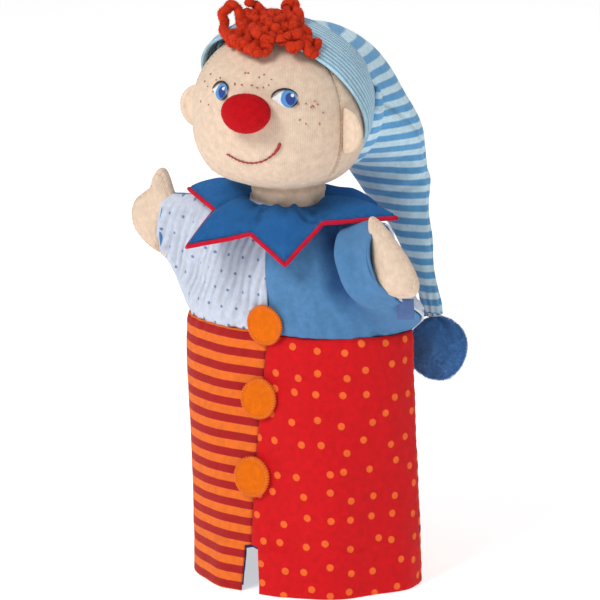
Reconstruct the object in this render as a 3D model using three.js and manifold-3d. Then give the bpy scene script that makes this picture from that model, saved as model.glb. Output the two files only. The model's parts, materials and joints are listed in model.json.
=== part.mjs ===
// A jester glove puppet: a lined tunic with two sleeves and mitten hands, a stuffed head on a short neck,
// and a pointed cap whose tail hangs down behind the left shoulder and ends in a pompom.
// Millimetres, +Z up. The puppet faces -Y and its own left side is +X. The origin is the middle of the
// bottom of its bounding box, on the surface that it stands on.
import * as THREE from 'three';
import { mergeVertices } from 'three/addons/utils/BufferGeometryUtils.js';
import Module from 'manifold-3d';

const wasm = await Module();
wasm.setup();

// ---- driving dimensions ------------------------------------------------------------------------------
const GAP = 0.35;               // clearance between neighbouring pieces
const CLOTH = 2;                // tunic cloth, seam allowances included
const WAIST_Z = 147;            // waist seam
const NECK_Z = 217;             // top of the bodice
const SLIT_HEIGHT = 27;         // slit at the centre front of the hem
const SLIT_HALF_WIDTH = 6;
const SEAM_ANGLE = 0.006;       // radians kept free on each side of a seam
const ARMHOLE = { y: -6, z: 188, halfDepth: 22, halfHeight: 27 };
const NECK = { x: 0, y: -14, radius: 18, bottom: 206, top: 236 };
const FINGER = { radius: 9, wall: 1.2, top: 284 };
const HEAD = { center: [0, -22, 276], radius: 49.5, halfHeight: 47, turn: 10, skin: 2 };
const CAP_AXIS_TILT = 32.5;     // elevation of the cap's axis, which points up and back
const CAP_RIM = 0.5;            // rim of the cap, measured along its axis from the head's centre
const CAP_BAND_END = 26;
const BUTTON = { radius: 11, thickness: 3.2, heights: [151.9, 110.6, 66.9] };
const HAND_THICKNESS = 12.5;
const WRIST_GAP = 3;            // from the cuff to the hinge of the wrist
const FELT_WALL = 2.2;
const POMPOM = { center: [59, 52, 126], halfWidth: 15.5, halfHeight: 18 };

// Cross-sections of the tunic: height, half width, front and back.
const TUNIC_SECTIONS = [
  { z: 0, halfWidth: 73, front: -57, back: 53 },
  { z: 67, halfWidth: 71, front: -51, back: 49 },
  { z: 110, halfWidth: 70, front: -44, back: 44 },
  { z: 147, halfWidth: 69, front: -36.5, back: 38.5 },
  { z: 160, halfWidth: 62, front: -37, back: 37 },
  { z: 175, halfWidth: 54, front: -38, back: 34 },
  { z: 190, halfWidth: 47, front: -40.5, back: 28 },
  { z: 201, halfWidth: 40, front: -42, back: 22 },
  { z: 210, halfWidth: 32, front: -40, back: 14 },
  { z: 217, halfWidth: 24, front: -37, back: 10 },
];

const COLOUR = {
  stripedRed: 0xb52a22,
  dottedRed: 0xc6161c,
  paleDots: 0xbfc9e0,
  velour: 0x5a92d3,
  plush: 0x2a6bb8,
  piping: 0xc8142a,
  lining: 0x1f3f86,
  orange: 0xe0750f,
  jersey: 0xe3c3a4,
  nose: 0xc01523,
  chenille: 0xd2340f,
  knit: 0x8dbbe2,
  capStripe: 0x74b2df,
  thread: 0x27508f,
  ribbon: 0x8fa3bd,
  cardboard: 0xb89a6c,
  padding: 0xf2efe8,
};

// ---- helpers -----------------------------------------------------------------------------------------
const radians = THREE.MathUtils.degToRad;
const lerp = THREE.MathUtils.lerp;

function material(color, roughness = 0.9) {
  return new THREE.MeshStandardMaterial({ color, roughness, metalness: 0 });
}

function piece(name, geometry, surface) {
  const mesh = new THREE.Mesh(geometry, surface);
  mesh.name = name;
  return mesh;
}

/** Moves every vertex of a geometry to map(x, y, z), which returns [x, y, z]. */
function remap(geometry, map) {
  const position = geometry.attributes.position;
  for (let i = 0; i < position.count; i += 1) {
    position.setXYZ(i, ...map(position.getX(i), position.getY(i), position.getZ(i)));
  }
  return bare(geometry);
}

/** Keeps only the positions and merges the vertices that coincide. */
function bare(geometry) {
  geometry.deleteAttribute('normal');
  geometry.deleteAttribute('uv');
  const merged = mergeVertices(geometry, 1e-4);
  merged.computeVertexNormals();
  return merged;
}

function toSolid(geometry) {
  const plain = bare(geometry);
  return new wasm.Manifold(new wasm.Mesh({
    numProp: 3,
    vertProperties: new Float32Array(plain.attributes.position.array),
    triVerts: new Uint32Array(plain.index.array),
  }));
}

function fromSolid(solid) {
  const mesh = solid.getMesh();
  const geometry = new THREE.BufferGeometry();
  geometry.setAttribute('position', new THREE.BufferAttribute(new Float32Array(mesh.vertProperties), 3));
  geometry.setIndex(new THREE.BufferAttribute(new Uint32Array(mesh.triVerts), 1));
  geometry.computeVertexNormals();
  return geometry;
}

/** A curved sheet: place(u, v, depth) maps the unit square, at depth 0 outside and 1 inside, to points. */
function sheet(columns, rows, place) {
  const slab = new THREE.BoxGeometry(1, 1, 1, columns, rows, 1);
  return remap(slab, (x, y, z) => place(x + 0.5, y + 0.5, 0.5 - z));
}

/** A solid whose round sections follow rings of { center, across, along, halfAcross, halfAlong }. */
function sweep(rings, sides) {
  const rows = rings.length - 1;
  const rod = new THREE.CylinderGeometry(1, 1, 1, sides, rows);
  return remap(rod, (x, y, z) => {
    const ring = rings[Math.round((0.5 - y) * rows)];
    return new THREE.Vector3(...ring.center)
      .addScaledVector(ring.across, x * ring.halfAcross)
      .addScaledVector(ring.along, z * ring.halfAlong)
      .toArray();
  });
}

/** A ring about the Z axis whose section is a closed list of [radius, height]. */
function ringAboutZ(profile, sides) {
  const points = [...profile, profile[0]].map(([radius, height]) => new THREE.Vector2(radius, height));
  return bare(new THREE.LatheGeometry(points, sides).rotateX(Math.PI / 2));
}

function tubeAboutZ(inner, outer, bottom, top, sides) {
  return ringAboutZ([[inner, bottom], [outer, bottom], [outer, top], [inner, top]], sides);
}

function ellipsoid(radius, halfHeight, columns = 24, rows = 16) {
  return new THREE.SphereGeometry(1, columns, rows).rotateX(Math.PI / 2).scale(radius, radius, halfHeight);
}

function rodAboutZ(radius, bottom, top, sides = 32) {
  return new THREE.CylinderGeometry(radius, radius, top - bottom, sides)
    .rotateX(Math.PI / 2)
    .translate(0, 0, (top + bottom) / 2);
}

// ---- tunic -------------------------------------------------------------------------------------------
function tunicSection(z) {
  const last = TUNIC_SECTIONS.length - 1;
  const found = TUNIC_SECTIONS.findIndex((section) => section.z >= z);
  const above = found < 0 ? last : Math.max(found, 1);
  const low = TUNIC_SECTIONS[above - 1];
  const high = TUNIC_SECTIONS[above];
  const t = (z - low.z) / (high.z - low.z);
  const front = lerp(low.front, high.front, t);
  const back = lerp(low.back, high.back, t);
  const halfWidth = lerp(low.halfWidth, high.halfWidth, t);
  return { halfWidth, middle: (front + back) / 2, halfDepth: (back - front) / 2 };
}

/** A point of the tunic, at an angle from the centre front towards the puppet's left. */
function tunicPoint(angle, z, inset) {
  const { halfWidth, middle, halfDepth } = tunicSection(z);
  return [(halfWidth - inset) * Math.sin(angle), middle - (halfDepth - inset) * Math.cos(angle), z];
}

/** A panel of the tunic between two seams; at the centre front it may leave the slit of the hem open. */
function tunicPanel({ from, to, levels, inset, thickness, columns, slitTop = 0 }) {
  const rows = levels.length - 1;
  return sheet(columns, rows, (u, v, depth) => {
    const z = levels[Math.round(v * rows)];
    const slit = z < slitTop ? Math.asin(SLIT_HALF_WIDTH / tunicSection(z).halfWidth) : SEAM_ANGLE;
    const start = from === 0 ? slit : from + SEAM_ANGLE;
    const end = to === 0 ? -slit : to - SEAM_ANGLE;
    return tunicPoint(lerp(start, end, u), z, inset + depth * thickness);
  });
}

const QUARTERS = [
  { name: 'front_left', from: 0, to: Math.PI / 2 },
  { name: 'front_right', from: -Math.PI / 2, to: 0 },
  { name: 'back_left', from: Math.PI / 2, to: Math.PI },
  { name: 'back_right', from: -Math.PI, to: -Math.PI / 2 },
];

function skirt() {
  const levels = [0, SLIT_HEIGHT - 1, SLIT_HEIGHT + 0.5, 67, 110, WAIST_Z];
  const striped = material(COLOUR.stripedRed);
  const dotted = material(COLOUR.dottedRed);
  const shared = { levels, inset: 0, thickness: CLOTH, columns: 8, slitTop: SLIT_HEIGHT };
  return QUARTERS.map(({ name, from, to }) => {
    const panel = tunicPanel({ from, to, ...shared });
    const isStriped = name === 'front_right' || name === 'back_left';
    return piece(`skirt_${name}`, panel, isStriped ? striped : dotted);
  });
}

function lining() {
  const levels = [4, SLIT_HEIGHT - 5, SLIT_HEIGHT - 4, 67, 110, WAIST_Z - 1];
  const cloth = material(COLOUR.lining);
  const shared = { levels, inset: CLOTH + 3 * GAP, thickness: 1, columns: 16, slitTop: SLIT_HEIGHT - 4.5 };
  return [
    piece('lining_left', tunicPanel({ from: 0, to: Math.PI, ...shared }), cloth),
    piece('lining_right', tunicPanel({ from: -Math.PI, to: 0, ...shared }), cloth),
  ];
}

function armholeCutter() {
  const { y, z, halfDepth, halfHeight } = ARMHOLE;
  return toSolid(new THREE.CylinderGeometry(1, 1, 160, 28)
    .rotateZ(Math.PI / 2)
    .scale(1, halfHeight, halfDepth)
    .rotateX(Math.PI / 2)
    .translate(0, y, z));
}

function bodice() {
  const levels = [WAIST_Z + 0.6, 160, 175, 190, 201, 210, NECK_Z];
  const armholes = armholeCutter();
  const core = toSolid(new THREE.BoxGeometry(50, 200, 200).translate(0, 0, 150));
  const cutter = armholes.subtract(core);
  const pale = material(COLOUR.paleDots);
  const velour = material(COLOUR.velour);
  return QUARTERS.map(({ name, from, to }) => {
    const panel = tunicPanel({ from, to, levels, inset: 0, thickness: CLOTH, columns: 8 });
    const isPale = name === 'front_right' || name === 'back_left';
    return piece(`bodice_${name}`, fromSolid(toSolid(panel).subtract(cutter)), isPale ? pale : velour);
  });
}

function buttons() {
  const { radius, thickness, heights } = BUTTON;
  const rim = 1;
  const profile = [
    new THREE.Vector2(0, 0),
    new THREE.Vector2(radius, 0),
    new THREE.Vector2(radius, thickness - rim),
    new THREE.Vector2(radius - rim, thickness),
    new THREE.Vector2(0, thickness),
  ];
  const felt = material(COLOUR.orange);
  const names = ['button_top', 'button_middle', 'button_bottom'];
  return heights.map((z, i) => {
    const disc = bare(new THREE.LatheGeometry(profile, 20));
    const above = tunicPoint(0, z + radius, 0);
    const below = tunicPoint(0, z - radius, 0);
    const slope = Math.atan2(above[1] - below[1], 2 * radius);
    const button = piece(names[i], disc, felt);
    button.rotation.x = Math.PI - slope;
    button.position.set(0, tunicPoint(0, z, 0)[1] - 2 * GAP - (i === 0 ? 0.6 : 0), z);
    return button;
  });
}

/** The folded ribbon in the left side seam, with nothing on it. */
function sideLabel() {
  const width = 8;
  const height = 12;
  const leaf = 0.7;
  const between = 0.8;
  const outline = new THREE.Shape();
  outline.moveTo(0, 0);
  outline.lineTo(width, 0);
  outline.lineTo(width, 2 * leaf + between);
  outline.lineTo(0, 2 * leaf + between);
  outline.lineTo(0, leaf + between);
  outline.lineTo(width - leaf, leaf + between);
  outline.lineTo(width - leaf, leaf);
  outline.lineTo(0, leaf);
  const label = new THREE.ExtrudeGeometry(outline, { depth: height, bevelEnabled: false });
  const z = WAIST_Z + 4;
  const ribbon = piece('side_label', bare(label), material(COLOUR.ribbon));
  ribbon.position.set(tunicSection(z).halfWidth + GAP, -1.1, z);
  return ribbon;
}

// ---- collar ------------------------------------------------------------------------------------------
const COLLAR = { top: 223.5, inner: 21.5, valleyRadius: 41, tipSpacing: 60, thickness: 1.6 };
// Tips by their angle from the front towards the puppet's left, the first one 30 degrees round.
const COLLAR_TIPS = [
  { radius: 46, drop: 27 },
  { radius: 70, drop: 1 },
  { radius: 56, drop: 13 },
  { radius: 56, drop: 13 },
  { radius: 66, drop: 4 },
  { radius: 64, drop: 18 },
];
const COLLAR_VALLEY_DROPS = [12, 8, 5, 11, 5, 8];

/** The collar's edge at an angle from the front: its distance from the neck's axis and its drop. */
function collarEdge(angle) {
  const half = radians(COLLAR.tipSpacing / 2);
  const step = angle / half;
  const start = Math.floor(step + 1e-6);
  const corner = (index) => {
    const wrapped = ((index % 12) + 12) % 12;
    const isTip = wrapped % 2 === 1;
    const tip = COLLAR_TIPS[(wrapped - 1) / 2];
    const radius = isTip ? tip.radius : COLLAR.valleyRadius;
    const drop = isTip ? tip.drop : COLLAR_VALLEY_DROPS[wrapped / 2];
    return { x: radius * Math.sin(index * half), y: -radius * Math.cos(index * half), drop };
  };
  const first = corner(start);
  const second = corner(start + 1);
  const t = step - start;
  const x = lerp(first.x, second.x, t);
  const y = lerp(first.y, second.y, t);
  return { radius: Math.hypot(x, y), drop: lerp(first.drop, second.drop, t) };
}

/** A ring round the neck: profile gives [share of the way out, millimetres out, millimetres up]. */
function collarRing(profile, sides) {
  const flat = ringAboutZ(profile.map(([, , up], i) => [i + 1, up]), sides);
  return remap(flat, (x, y, up) => {
    const angle = Math.atan2(x, -y);
    const index = Math.round(Math.hypot(x, y)) - 1;
    const [share, out] = profile[index];
    const edge = collarEdge(angle < 0 ? angle + 2 * Math.PI : angle);
    const radius = lerp(COLLAR.inner, edge.radius, share) + out;
    const z = COLLAR.top - edge.drop * share * share + up;
    return [NECK.x + radius * Math.sin(angle), NECK.y - radius * Math.cos(angle), z];
  });
}

function collar() {
  const sides = 36;
  const t = COLLAR.thickness;
  const under = -t - 4 * GAP;
  const sheetProfile = (top) => [
    [0, 0, top - t], [0.4, 0, top - t], [0.7, 0, top - t], [1, 0, top - t],
    [1, 0, top], [0.7, 0, top], [0.4, 0, top], [0, 0, top],
  ];
  const bead = [[1, GAP, under - 0.4], [1, GAP + 2.4, under - 0.4], [1, GAP + 2.4, -0.2], [1, GAP, -0.2]];
  return [
    piece('collar', collarRing(sheetProfile(0), sides), material(COLOUR.plush)),
    piece('collar_lining', collarRing(sheetProfile(under), sides), material(COLOUR.plush)),
    piece('collar_piping', collarRing(bead, sides), material(COLOUR.piping)),
  ];
}

// ---- neck --------------------------------------------------------------------------------------------
function neck() {
  const { x, y, radius, bottom, top } = NECK;
  const tubeOuter = FINGER.radius + FINGER.wall;
  const coverInner = radius - 1.5;
  const cover = tubeAboutZ(coverInner, radius, bottom, top, 28);
  const padding = tubeAboutZ(tubeOuter + GAP, coverInner - GAP, bottom + 2, top - 1, 24);
  const tube = tubeAboutZ(FINGER.radius, tubeOuter, bottom - 2, top + 1, 24);
  const pieces = [
    piece('neck_cover', cover, material(COLOUR.jersey)),
    piece('neck_padding', padding, material(COLOUR.padding)),
    piece('finger_tube', tube, material(COLOUR.cardboard)),
  ];
  pieces.forEach((mesh) => mesh.position.set(x, y, 0));
  return pieces;
}

// ---- head --------------------------------------------------------------------------------------------
const SIDE_SEAM = 66;           // the seam in front of each ear, in degrees from the middle of the face
const headGroup = new THREE.Group();
headGroup.position.set(...HEAD.center);
headGroup.rotation.z = radians(HEAD.turn);
headGroup.updateMatrixWorld(true);

/** A direction in the head's own frame, from the middle of the face towards its left and upwards. */
function headDirection(azimuth, elevation) {
  const side = radians(azimuth);
  const up = radians(elevation);
  return new THREE.Vector3(Math.cos(up) * Math.sin(side), -Math.cos(up) * Math.cos(side), Math.sin(up));
}

function headPoint(azimuth, elevation, proud = 0) {
  const direction = headDirection(azimuth, elevation);
  const { radius, halfHeight } = HEAD;
  return direction.multiply(new THREE.Vector3(radius + proud, radius + proud, halfHeight + proud));
}

const headBall = (growth, columns, rows) =>
  toSolid(ellipsoid(HEAD.radius + growth, HEAD.halfHeight + growth, columns, rows));

/** The neck's axis as the head's frame sees it, as a rod that leaves room for the neck. */
function neckRod(radius, topZ) {
  const local = headGroup.worldToLocal(new THREE.Vector3(NECK.x, NECK.y, 0));
  const rod = rodAboutZ(radius, -80, topZ - HEAD.center[2]);
  return toSolid(rod.translate(local.x, local.y, 0));
}

/** Everything within an angle of the face's middle plane, as a solid wedge. */
function faceWedge() {
  const reach = 90;
  const angle = radians(SIDE_SEAM);
  const outline = new THREE.Shape();
  outline.moveTo(0, 0);
  outline.lineTo(reach * Math.sin(angle), -reach * Math.cos(angle));
  outline.lineTo(reach * Math.sin(angle), -reach);
  outline.lineTo(-reach * Math.sin(angle), -reach);
  outline.lineTo(-reach * Math.sin(angle), -reach * Math.cos(angle));
  const wedge = new THREE.ExtrudeGeometry(outline, { depth: 2 * reach, bevelEnabled: false });
  return toSolid(wedge.translate(0, 0, -reach));
}

function headShell() {
  const skin = headBall(0).subtract(headBall(-HEAD.skin)).subtract(neckRod(NECK.radius + 3, 246));
  const wedge = faceWedge();
  const moved = (dy) => wedge.translate([0, dy, 0]);
  const bore = neckRod(FINGER.radius + FINGER.wall + GAP, FINGER.top);
  const stuffing = headBall(-HEAD.skin - 2 * GAP, 20, 12)
    .subtract(neckRod(NECK.radius + 3, NECK.top + 3))
    .subtract(bore);
  const jersey = material(COLOUR.jersey);
  return [
    piece('face_panel', fromSolid(skin.intersect(moved(-GAP))), jersey),
    piece('head_back_panel', fromSolid(skin.subtract(moved(GAP))), jersey),
    piece('head_stuffing', fromSolid(stuffing), material(COLOUR.padding)),
  ];
}

// Degrees on the head: azimuth towards the puppet's left, elevation above the level of the head's centre.
const EYE = { azimuth: 25.5, elevation: 18, halfWidth: 7, halfHeight: 5.5 };
const SMILE = { from: -22, to: 24, elevation: -27, sag: 30, rise: 14.5, halfWidth: 1 };

/** A padded oval against the head, with its inner side cut to the head's curve. */
function oval(name, { azimuth, elevation, halfSize, sink }, surface) {
  const place = new THREE.Object3D();
  place.position.copy(headPoint(azimuth, elevation, -sink));
  place.rotation.order = 'ZXY';
  place.rotation.set(radians(-elevation), 0, radians(azimuth));
  place.updateMatrix();
  const ball = new THREE.SphereGeometry(1, 14, 10).scale(...halfSize).applyMatrix4(place.matrix);
  return piece(name, fromSolid(toSolid(ball).subtract(headBall(GAP))), surface);
}

/**
 * A raised patch of embroidery that lies on the face. Each station is { azimuth, elevation, wide, high }:
 * the middle of a row of stitches, and how far the row reaches from it sideways and upwards.
 */
function embroidery(name, stations, surface) {
  const raised = 0.8;
  const lift = 0.6;
  const rows = stations.length - 1;
  const strip = sheet(4, rows, (u, v, depth) => {
    const { azimuth, elevation, wide, high } = stations[Math.round(v * rows)];
    const side = azimuth + (u - 0.5) * 2 * wide;
    const up = elevation + (0.5 - u) * 2 * high;
    return headPoint(side, up, lift + (1 - depth) * raised).toArray();
  });
  return piece(name, strip, surface);
}

function eye(name, azimuth, surface) {
  const { elevation, halfWidth, halfHeight } = EYE;
  const blunt = 1.08;
  const steps = 6;
  const stations = [];
  for (let i = 0; i <= steps; i += 1) {
    const height = (i / steps) * 2 - 1;
    const wide = halfWidth * Math.sqrt(blunt - height * height);
    stations.push({ azimuth, elevation: elevation + height * halfHeight, wide, high: 0 });
  }
  return embroidery(name, stations, surface);
}

function smile() {
  const steps = 12;
  const stations = [];
  for (let i = 0; i <= steps; i += 1) {
    const t = i / steps;
    const azimuth = lerp(SMILE.from, SMILE.to, t);
    const elevation = SMILE.elevation - SMILE.sag * t * (1 - t) + SMILE.rise * t * t;
    stations.push({ azimuth, elevation, wide: 0, high: SMILE.halfWidth });
  }
  return embroidery('smile', stations, material(COLOUR.nose));
}

function face() {
  const jersey = material(COLOUR.jersey);
  const thread = material(COLOUR.thread);
  const ear = { elevation: -8, halfSize: [15, 4.5, 12.3], sink: 2 };
  const earAzimuth = 74;
  return [
    oval('nose', { azimuth: 0, elevation: 7, halfSize: [14, 11, 11], sink: -1.5 }, material(COLOUR.nose)),
    oval('ear_left', { ...ear, azimuth: earAzimuth }, jersey),
    oval('ear_right', { ...ear, azimuth: -earAzimuth }, jersey),
    eye('eye_left', EYE.azimuth, thread),
    eye('eye_right', -EYE.azimuth, thread),
    smile(),
  ];
}

const CURL = {
  radius: 2.8,
  lift: 4.2,                    // of its root above the head
  steepness: 76,                // elevation that it rises towards, in degrees
  course: [[0, 0], [0.45, 0.2], [0.85, 0.8], [0.8, 1.6]], // shares of its length upwards and of its lean
};

/** One curl of thick chenille yarn: it rises from the hairline, leans and rolls over. */
function curl(index, azimuth, elevation, lean, length) {
  const root = headPoint(azimuth, elevation, CURL.lift);
  const up = headDirection(azimuth * 0.8, CURL.steepness).multiplyScalar(length);
  const side = new THREE.Vector3(lean, -4 - 2 * (index % 2), 0);
  const points = CURL.course.map(([rise, roll]) => {
    return root.clone().addScaledVector(up, rise).addScaledVector(side, roll);
  });
  const circle = new THREE.Shape().absarc(0, 0, CURL.radius, 0, 2 * Math.PI);
  const path = new THREE.CatmullRomCurve3(points);
  const yarn = new THREE.ExtrudeGeometry(circle, { steps: 6, curveSegments: 3, extrudePath: path });
  return piece(`hair_curl_${index + 1}`, bare(yarn), material(COLOUR.chenille));
}

/** A row of curls along the hairline, from the right temple to the left one, every other one longer. */
function hair() {
  const count = 9;
  const curls = [];
  for (let i = 0; i < count; i += 1) {
    const t = i / (count - 1);
    const fromMiddle = 2 * t - 1;
    const azimuth = lerp(-62, 58, t);
    const elevation = 57 - 5 * Math.abs(fromMiddle);
    const lean = 7 * fromMiddle;
    const length = 13 + 4 * (i % 2);
    curls.push(curl(i, azimuth, elevation, lean, length));
  }
  return curls;
}

// ---- cap ---------------------------------------------------------------------------------------------
const capTilt = radians(CAP_AXIS_TILT);
const capAxis = new THREE.Vector3(0, Math.cos(capTilt), Math.sin(capTilt));

/** A block that covers everything between two distances along the cap's axis, in the head's frame. */
function capSlab(from, to) {
  const block = new THREE.BoxGeometry(240, 240, to - from)
    .translate(0, 0, (from + to) / 2)
    .rotateX(capTilt - Math.PI / 2);
  return toSolid(block);
}

// The crown runs from the head into the tail: [x, y, z, half width] of its rings.
const CROWN_RINGS = [
  [-2, -4, 284, 46],
  [6, 15, 270, 37],
  [18, 32, 257, 27.5],
  [26, 44, 244, 20],
  [31, 52, 232, 15.5],
];

const TAIL_RINGS = [
  [31, 52, 221, 14.5],
  [37, 52, 204, 12],
  [43, 52, 185, 9.5],
  [49, 52, 163, 7],
  [52.5, 52, 147, 5],
];

/** Rings for sweep() along a list of [x, y, z, half width], each square to the way the list runs. */
function ringsAlong(list, shrink, flatness) {
  const centers = list.map(([x, y, z]) => new THREE.Vector3(x, y, z));
  return list.map(([, , , halfWidth], i) => {
    const before = centers[Math.max(i - 1, 0)];
    const after = centers[Math.min(i + 1, list.length - 1)];
    const direction = after.clone().sub(before).normalize();
    const across = new THREE.Vector3(0, 0, 1).cross(direction).normalize();
    if (across.lengthSq() < 0.5) across.set(1, 0, 0);
    const along = direction.clone().cross(across).normalize();
    const share = i / (list.length - 1);
    const depth = halfWidth * lerp(flatness[0], flatness[1], share);
    return {
      center: centers[i].toArray(),
      across,
      along,
      halfAcross: halfWidth - shrink,
      halfAlong: depth - shrink,
    };
  });
}

/** The crown's tail-ward part in the head's frame; a shrunken one also ends short and closes the crown. */
function crownSolid(shrink) {
  const rings = ringsAlong(CROWN_RINGS, shrink, [1, 0.55]);
  rings[rings.length - 1].center[2] += 1.5 * shrink;
  const solid = toSolid(sweep(rings, 22));
  const toHead = headGroup.matrixWorld.clone().invert().toArray();
  return solid.transform(toHead);
}

function capOnHead() {
  const thickness = 2.2;
  const outer = headBall(GAP + thickness);
  const inner = headBall(GAP);
  const neckRoom = neckRod(NECK.radius + 3, 246);
  const band = outer.subtract(inner).intersect(capSlab(CAP_RIM, CAP_BAND_END)).subtract(neckRoom);
  const dome = outer.add(crownSolid(0));
  const hollow = headBall(GAP).add(crownSolid(thickness));
  const crown = dome.subtract(hollow).intersect(capSlab(CAP_BAND_END + GAP, 200)).subtract(neckRoom);
  return [
    piece('cap_band', fromSolid(band), material(COLOUR.knit)),
    piece('cap_crown', fromSolid(crown), material(COLOUR.capStripe)),
  ];
}

function capTail() {
  return piece('cap_tail', sweep(ringsAlong(TAIL_RINGS, 0, [0.55, 0.7]), 16), material(COLOUR.capStripe));
}

function pompom() {
  const { center, halfWidth, halfHeight } = POMPOM;
  const ball = piece('pompom', bare(ellipsoid(halfWidth, halfHeight, 16, 10)), material(COLOUR.plush));
  ball.position.set(...center);
  return ball;
}

// ---- arms --------------------------------------------------------------------------------------------
const SLEEVE_LENGTH = 45;

// Angles in degrees, forwards and upwards from straight out to the side.
const ARMS = [
  { side: 'right', sign: -1, pivot: [-42, -2, 189], forward: -2, raise: 2, handForward: 0, handRaise: 15 },
  { side: 'left', sign: 1, pivot: [42, -10, 189], forward: 35, raise: 15, handForward: 27, handRaise: 27 },
];

/** A frame whose +X runs outwards along the arm, turned forward and raised; +Z stays up. */
function armFrame(sign, origin, forward, raise) {
  const frame = new THREE.Group();
  frame.position.set(...origin);
  frame.rotation.order = 'ZYX';
  const heading = sign > 0 ? -radians(forward) : Math.PI + radians(forward);
  frame.rotation.set(0, -radians(raise), heading);
  frame.updateMatrixWorld(true);
  return frame;
}

/** A sleeve along +X: an open tube, rounder at the shoulder and flatter at the cuff. */
function sleeve() {
  const across = new THREE.Vector3(0, 0, 1);
  const along = new THREE.Vector3(0, -1, 0);
  const ring = (x, halfAcross, halfAlong) => ({ center: [x, 0, 0], halfAcross, halfAlong, across, along });
  const rings = (extra, shrink) => [
    ring(1 - extra, 18 - shrink, 16.5 - shrink),
    ring(SLEEVE_LENGTH / 2, 19 - shrink, 15.5 - shrink),
    ring(SLEEVE_LENGTH + extra, 19 - shrink, 14.5 - shrink),
  ];
  const outer = toSolid(sweep(rings(0, 0), 20));
  const inner = toSolid(sweep(rings(1, CLOTH), 20));
  return fromSolid(outer.subtract(inner));
}

/** The mitten's outline in the X-Z plane: wrist at x = 0, fingers towards +X, thumb up. */
function mittenOutline(inset) {
  const outline = new THREE.Shape();
  const wrist = 11.5 - inset;
  const palm = 17 - inset;
  const fingers = 30 - inset;
  const thumb = 34 - inset;
  outline.moveTo(-4, -wrist);
  outline.lineTo(1, -wrist);
  outline.bezierCurveTo(12, -palm - 2, fingers, -13 + inset, fingers, 1);
  outline.bezierCurveTo(fingers, 11 - inset, 24 - inset, palm, 17, palm);
  outline.bezierCurveTo(15 - inset, palm + 3, 17 - inset, thumb, 10, thumb);
  outline.bezierCurveTo(3 + inset, thumb, 6 + inset, 22, 4 + inset, 17);
  outline.lineTo(1, wrist);
  outline.lineTo(-4, wrist);
  return outline;
}

/** One layer of a mitten, front (-Y) or back (+Y), hollow towards the other layer and open at the wrist. */
function mittenLayer(facing) {
  const mitten = (inset, depth) => {
    const options = { depth, bevelEnabled: false, curveSegments: 5 };
    return toSolid(new THREE.ExtrudeGeometry(mittenOutline(inset), options).rotateX(Math.PI / 2));
  };
  const depth = HAND_THICKNESS / 2 - GAP / 2;
  const hollowDepth = depth - FELT_WALL;
  const hollow = mitten(FELT_WALL, hollowDepth + 1).translate([0, 1, 0]);
  const wristSlot = new THREE.BoxGeometry(8, hollowDepth + 1, 18).translate(-4, -(hollowDepth - 1) / 2, 0);
  const layer = mitten(0, depth)
    .subtract(hollow)
    .subtract(toSolid(wristSlot))
    .translate([0, -GAP / 2, 0]);
  return fromSolid(facing < 0 ? layer : layer.mirror([0, 1, 0]));
}

function arm({ side, sign, pivot, forward, raise, handForward, handRaise }) {
  const cloth = material(sign > 0 ? COLOUR.velour : COLOUR.paleDots);
  const jersey = material(COLOUR.jersey);
  const shoulder = armFrame(sign, pivot, forward, raise);
  shoulder.add(piece(`sleeve_${side}`, sleeve(), cloth));
  const cuff = shoulder.localToWorld(new THREE.Vector3(SLEEVE_LENGTH + WRIST_GAP, 0, 0)).toArray();
  const wrist = armFrame(sign, cuff, handForward, handRaise);
  const frontFacing = sign > 0 ? -1 : 1;
  wrist.add(piece(`hand_${side}_front`, mittenLayer(frontFacing), jersey));
  wrist.add(piece(`hand_${side}_back`, mittenLayer(-frontFacing), jersey));
  return [shoulder, wrist];
}

// ---- assembly ----------------------------------------------------------------------------------------
headGroup.add(...headShell(), ...face(), ...hair(), ...capOnHead());

const puppet = new THREE.Group();
puppet.add(...skirt(), ...lining(), ...bodice(), ...buttons(), sideLabel(), ...collar());
puppet.add(...neck(), headGroup, capTail(), pompom());
ARMS.forEach((side) => puppet.add(...arm(side)));

// The origin is put at the bottom centre of the bounding box.
puppet.updateMatrixWorld(true);
const bounds = new THREE.Box3().setFromObject(puppet, true);
puppet.position.set(-(bounds.min.x + bounds.max.x) / 2, -(bounds.min.y + bounds.max.y) / 2, -bounds.min.z);

const handPuppet = new THREE.Group();
handPuppet.add(puppet);
handPuppet.updateMatrixWorld(true);

export default handPuppet;
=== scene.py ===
"""A jester glove puppet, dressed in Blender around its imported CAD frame.

Shapes are worked out in millimetres in the puppet's own frame: it faces -Y, its left side is +X, +Z is up and
Z = 0 is the surface that the hem stands on. world() carries them into the row frame, in metres.
"""
import json
import math
import random

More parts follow.
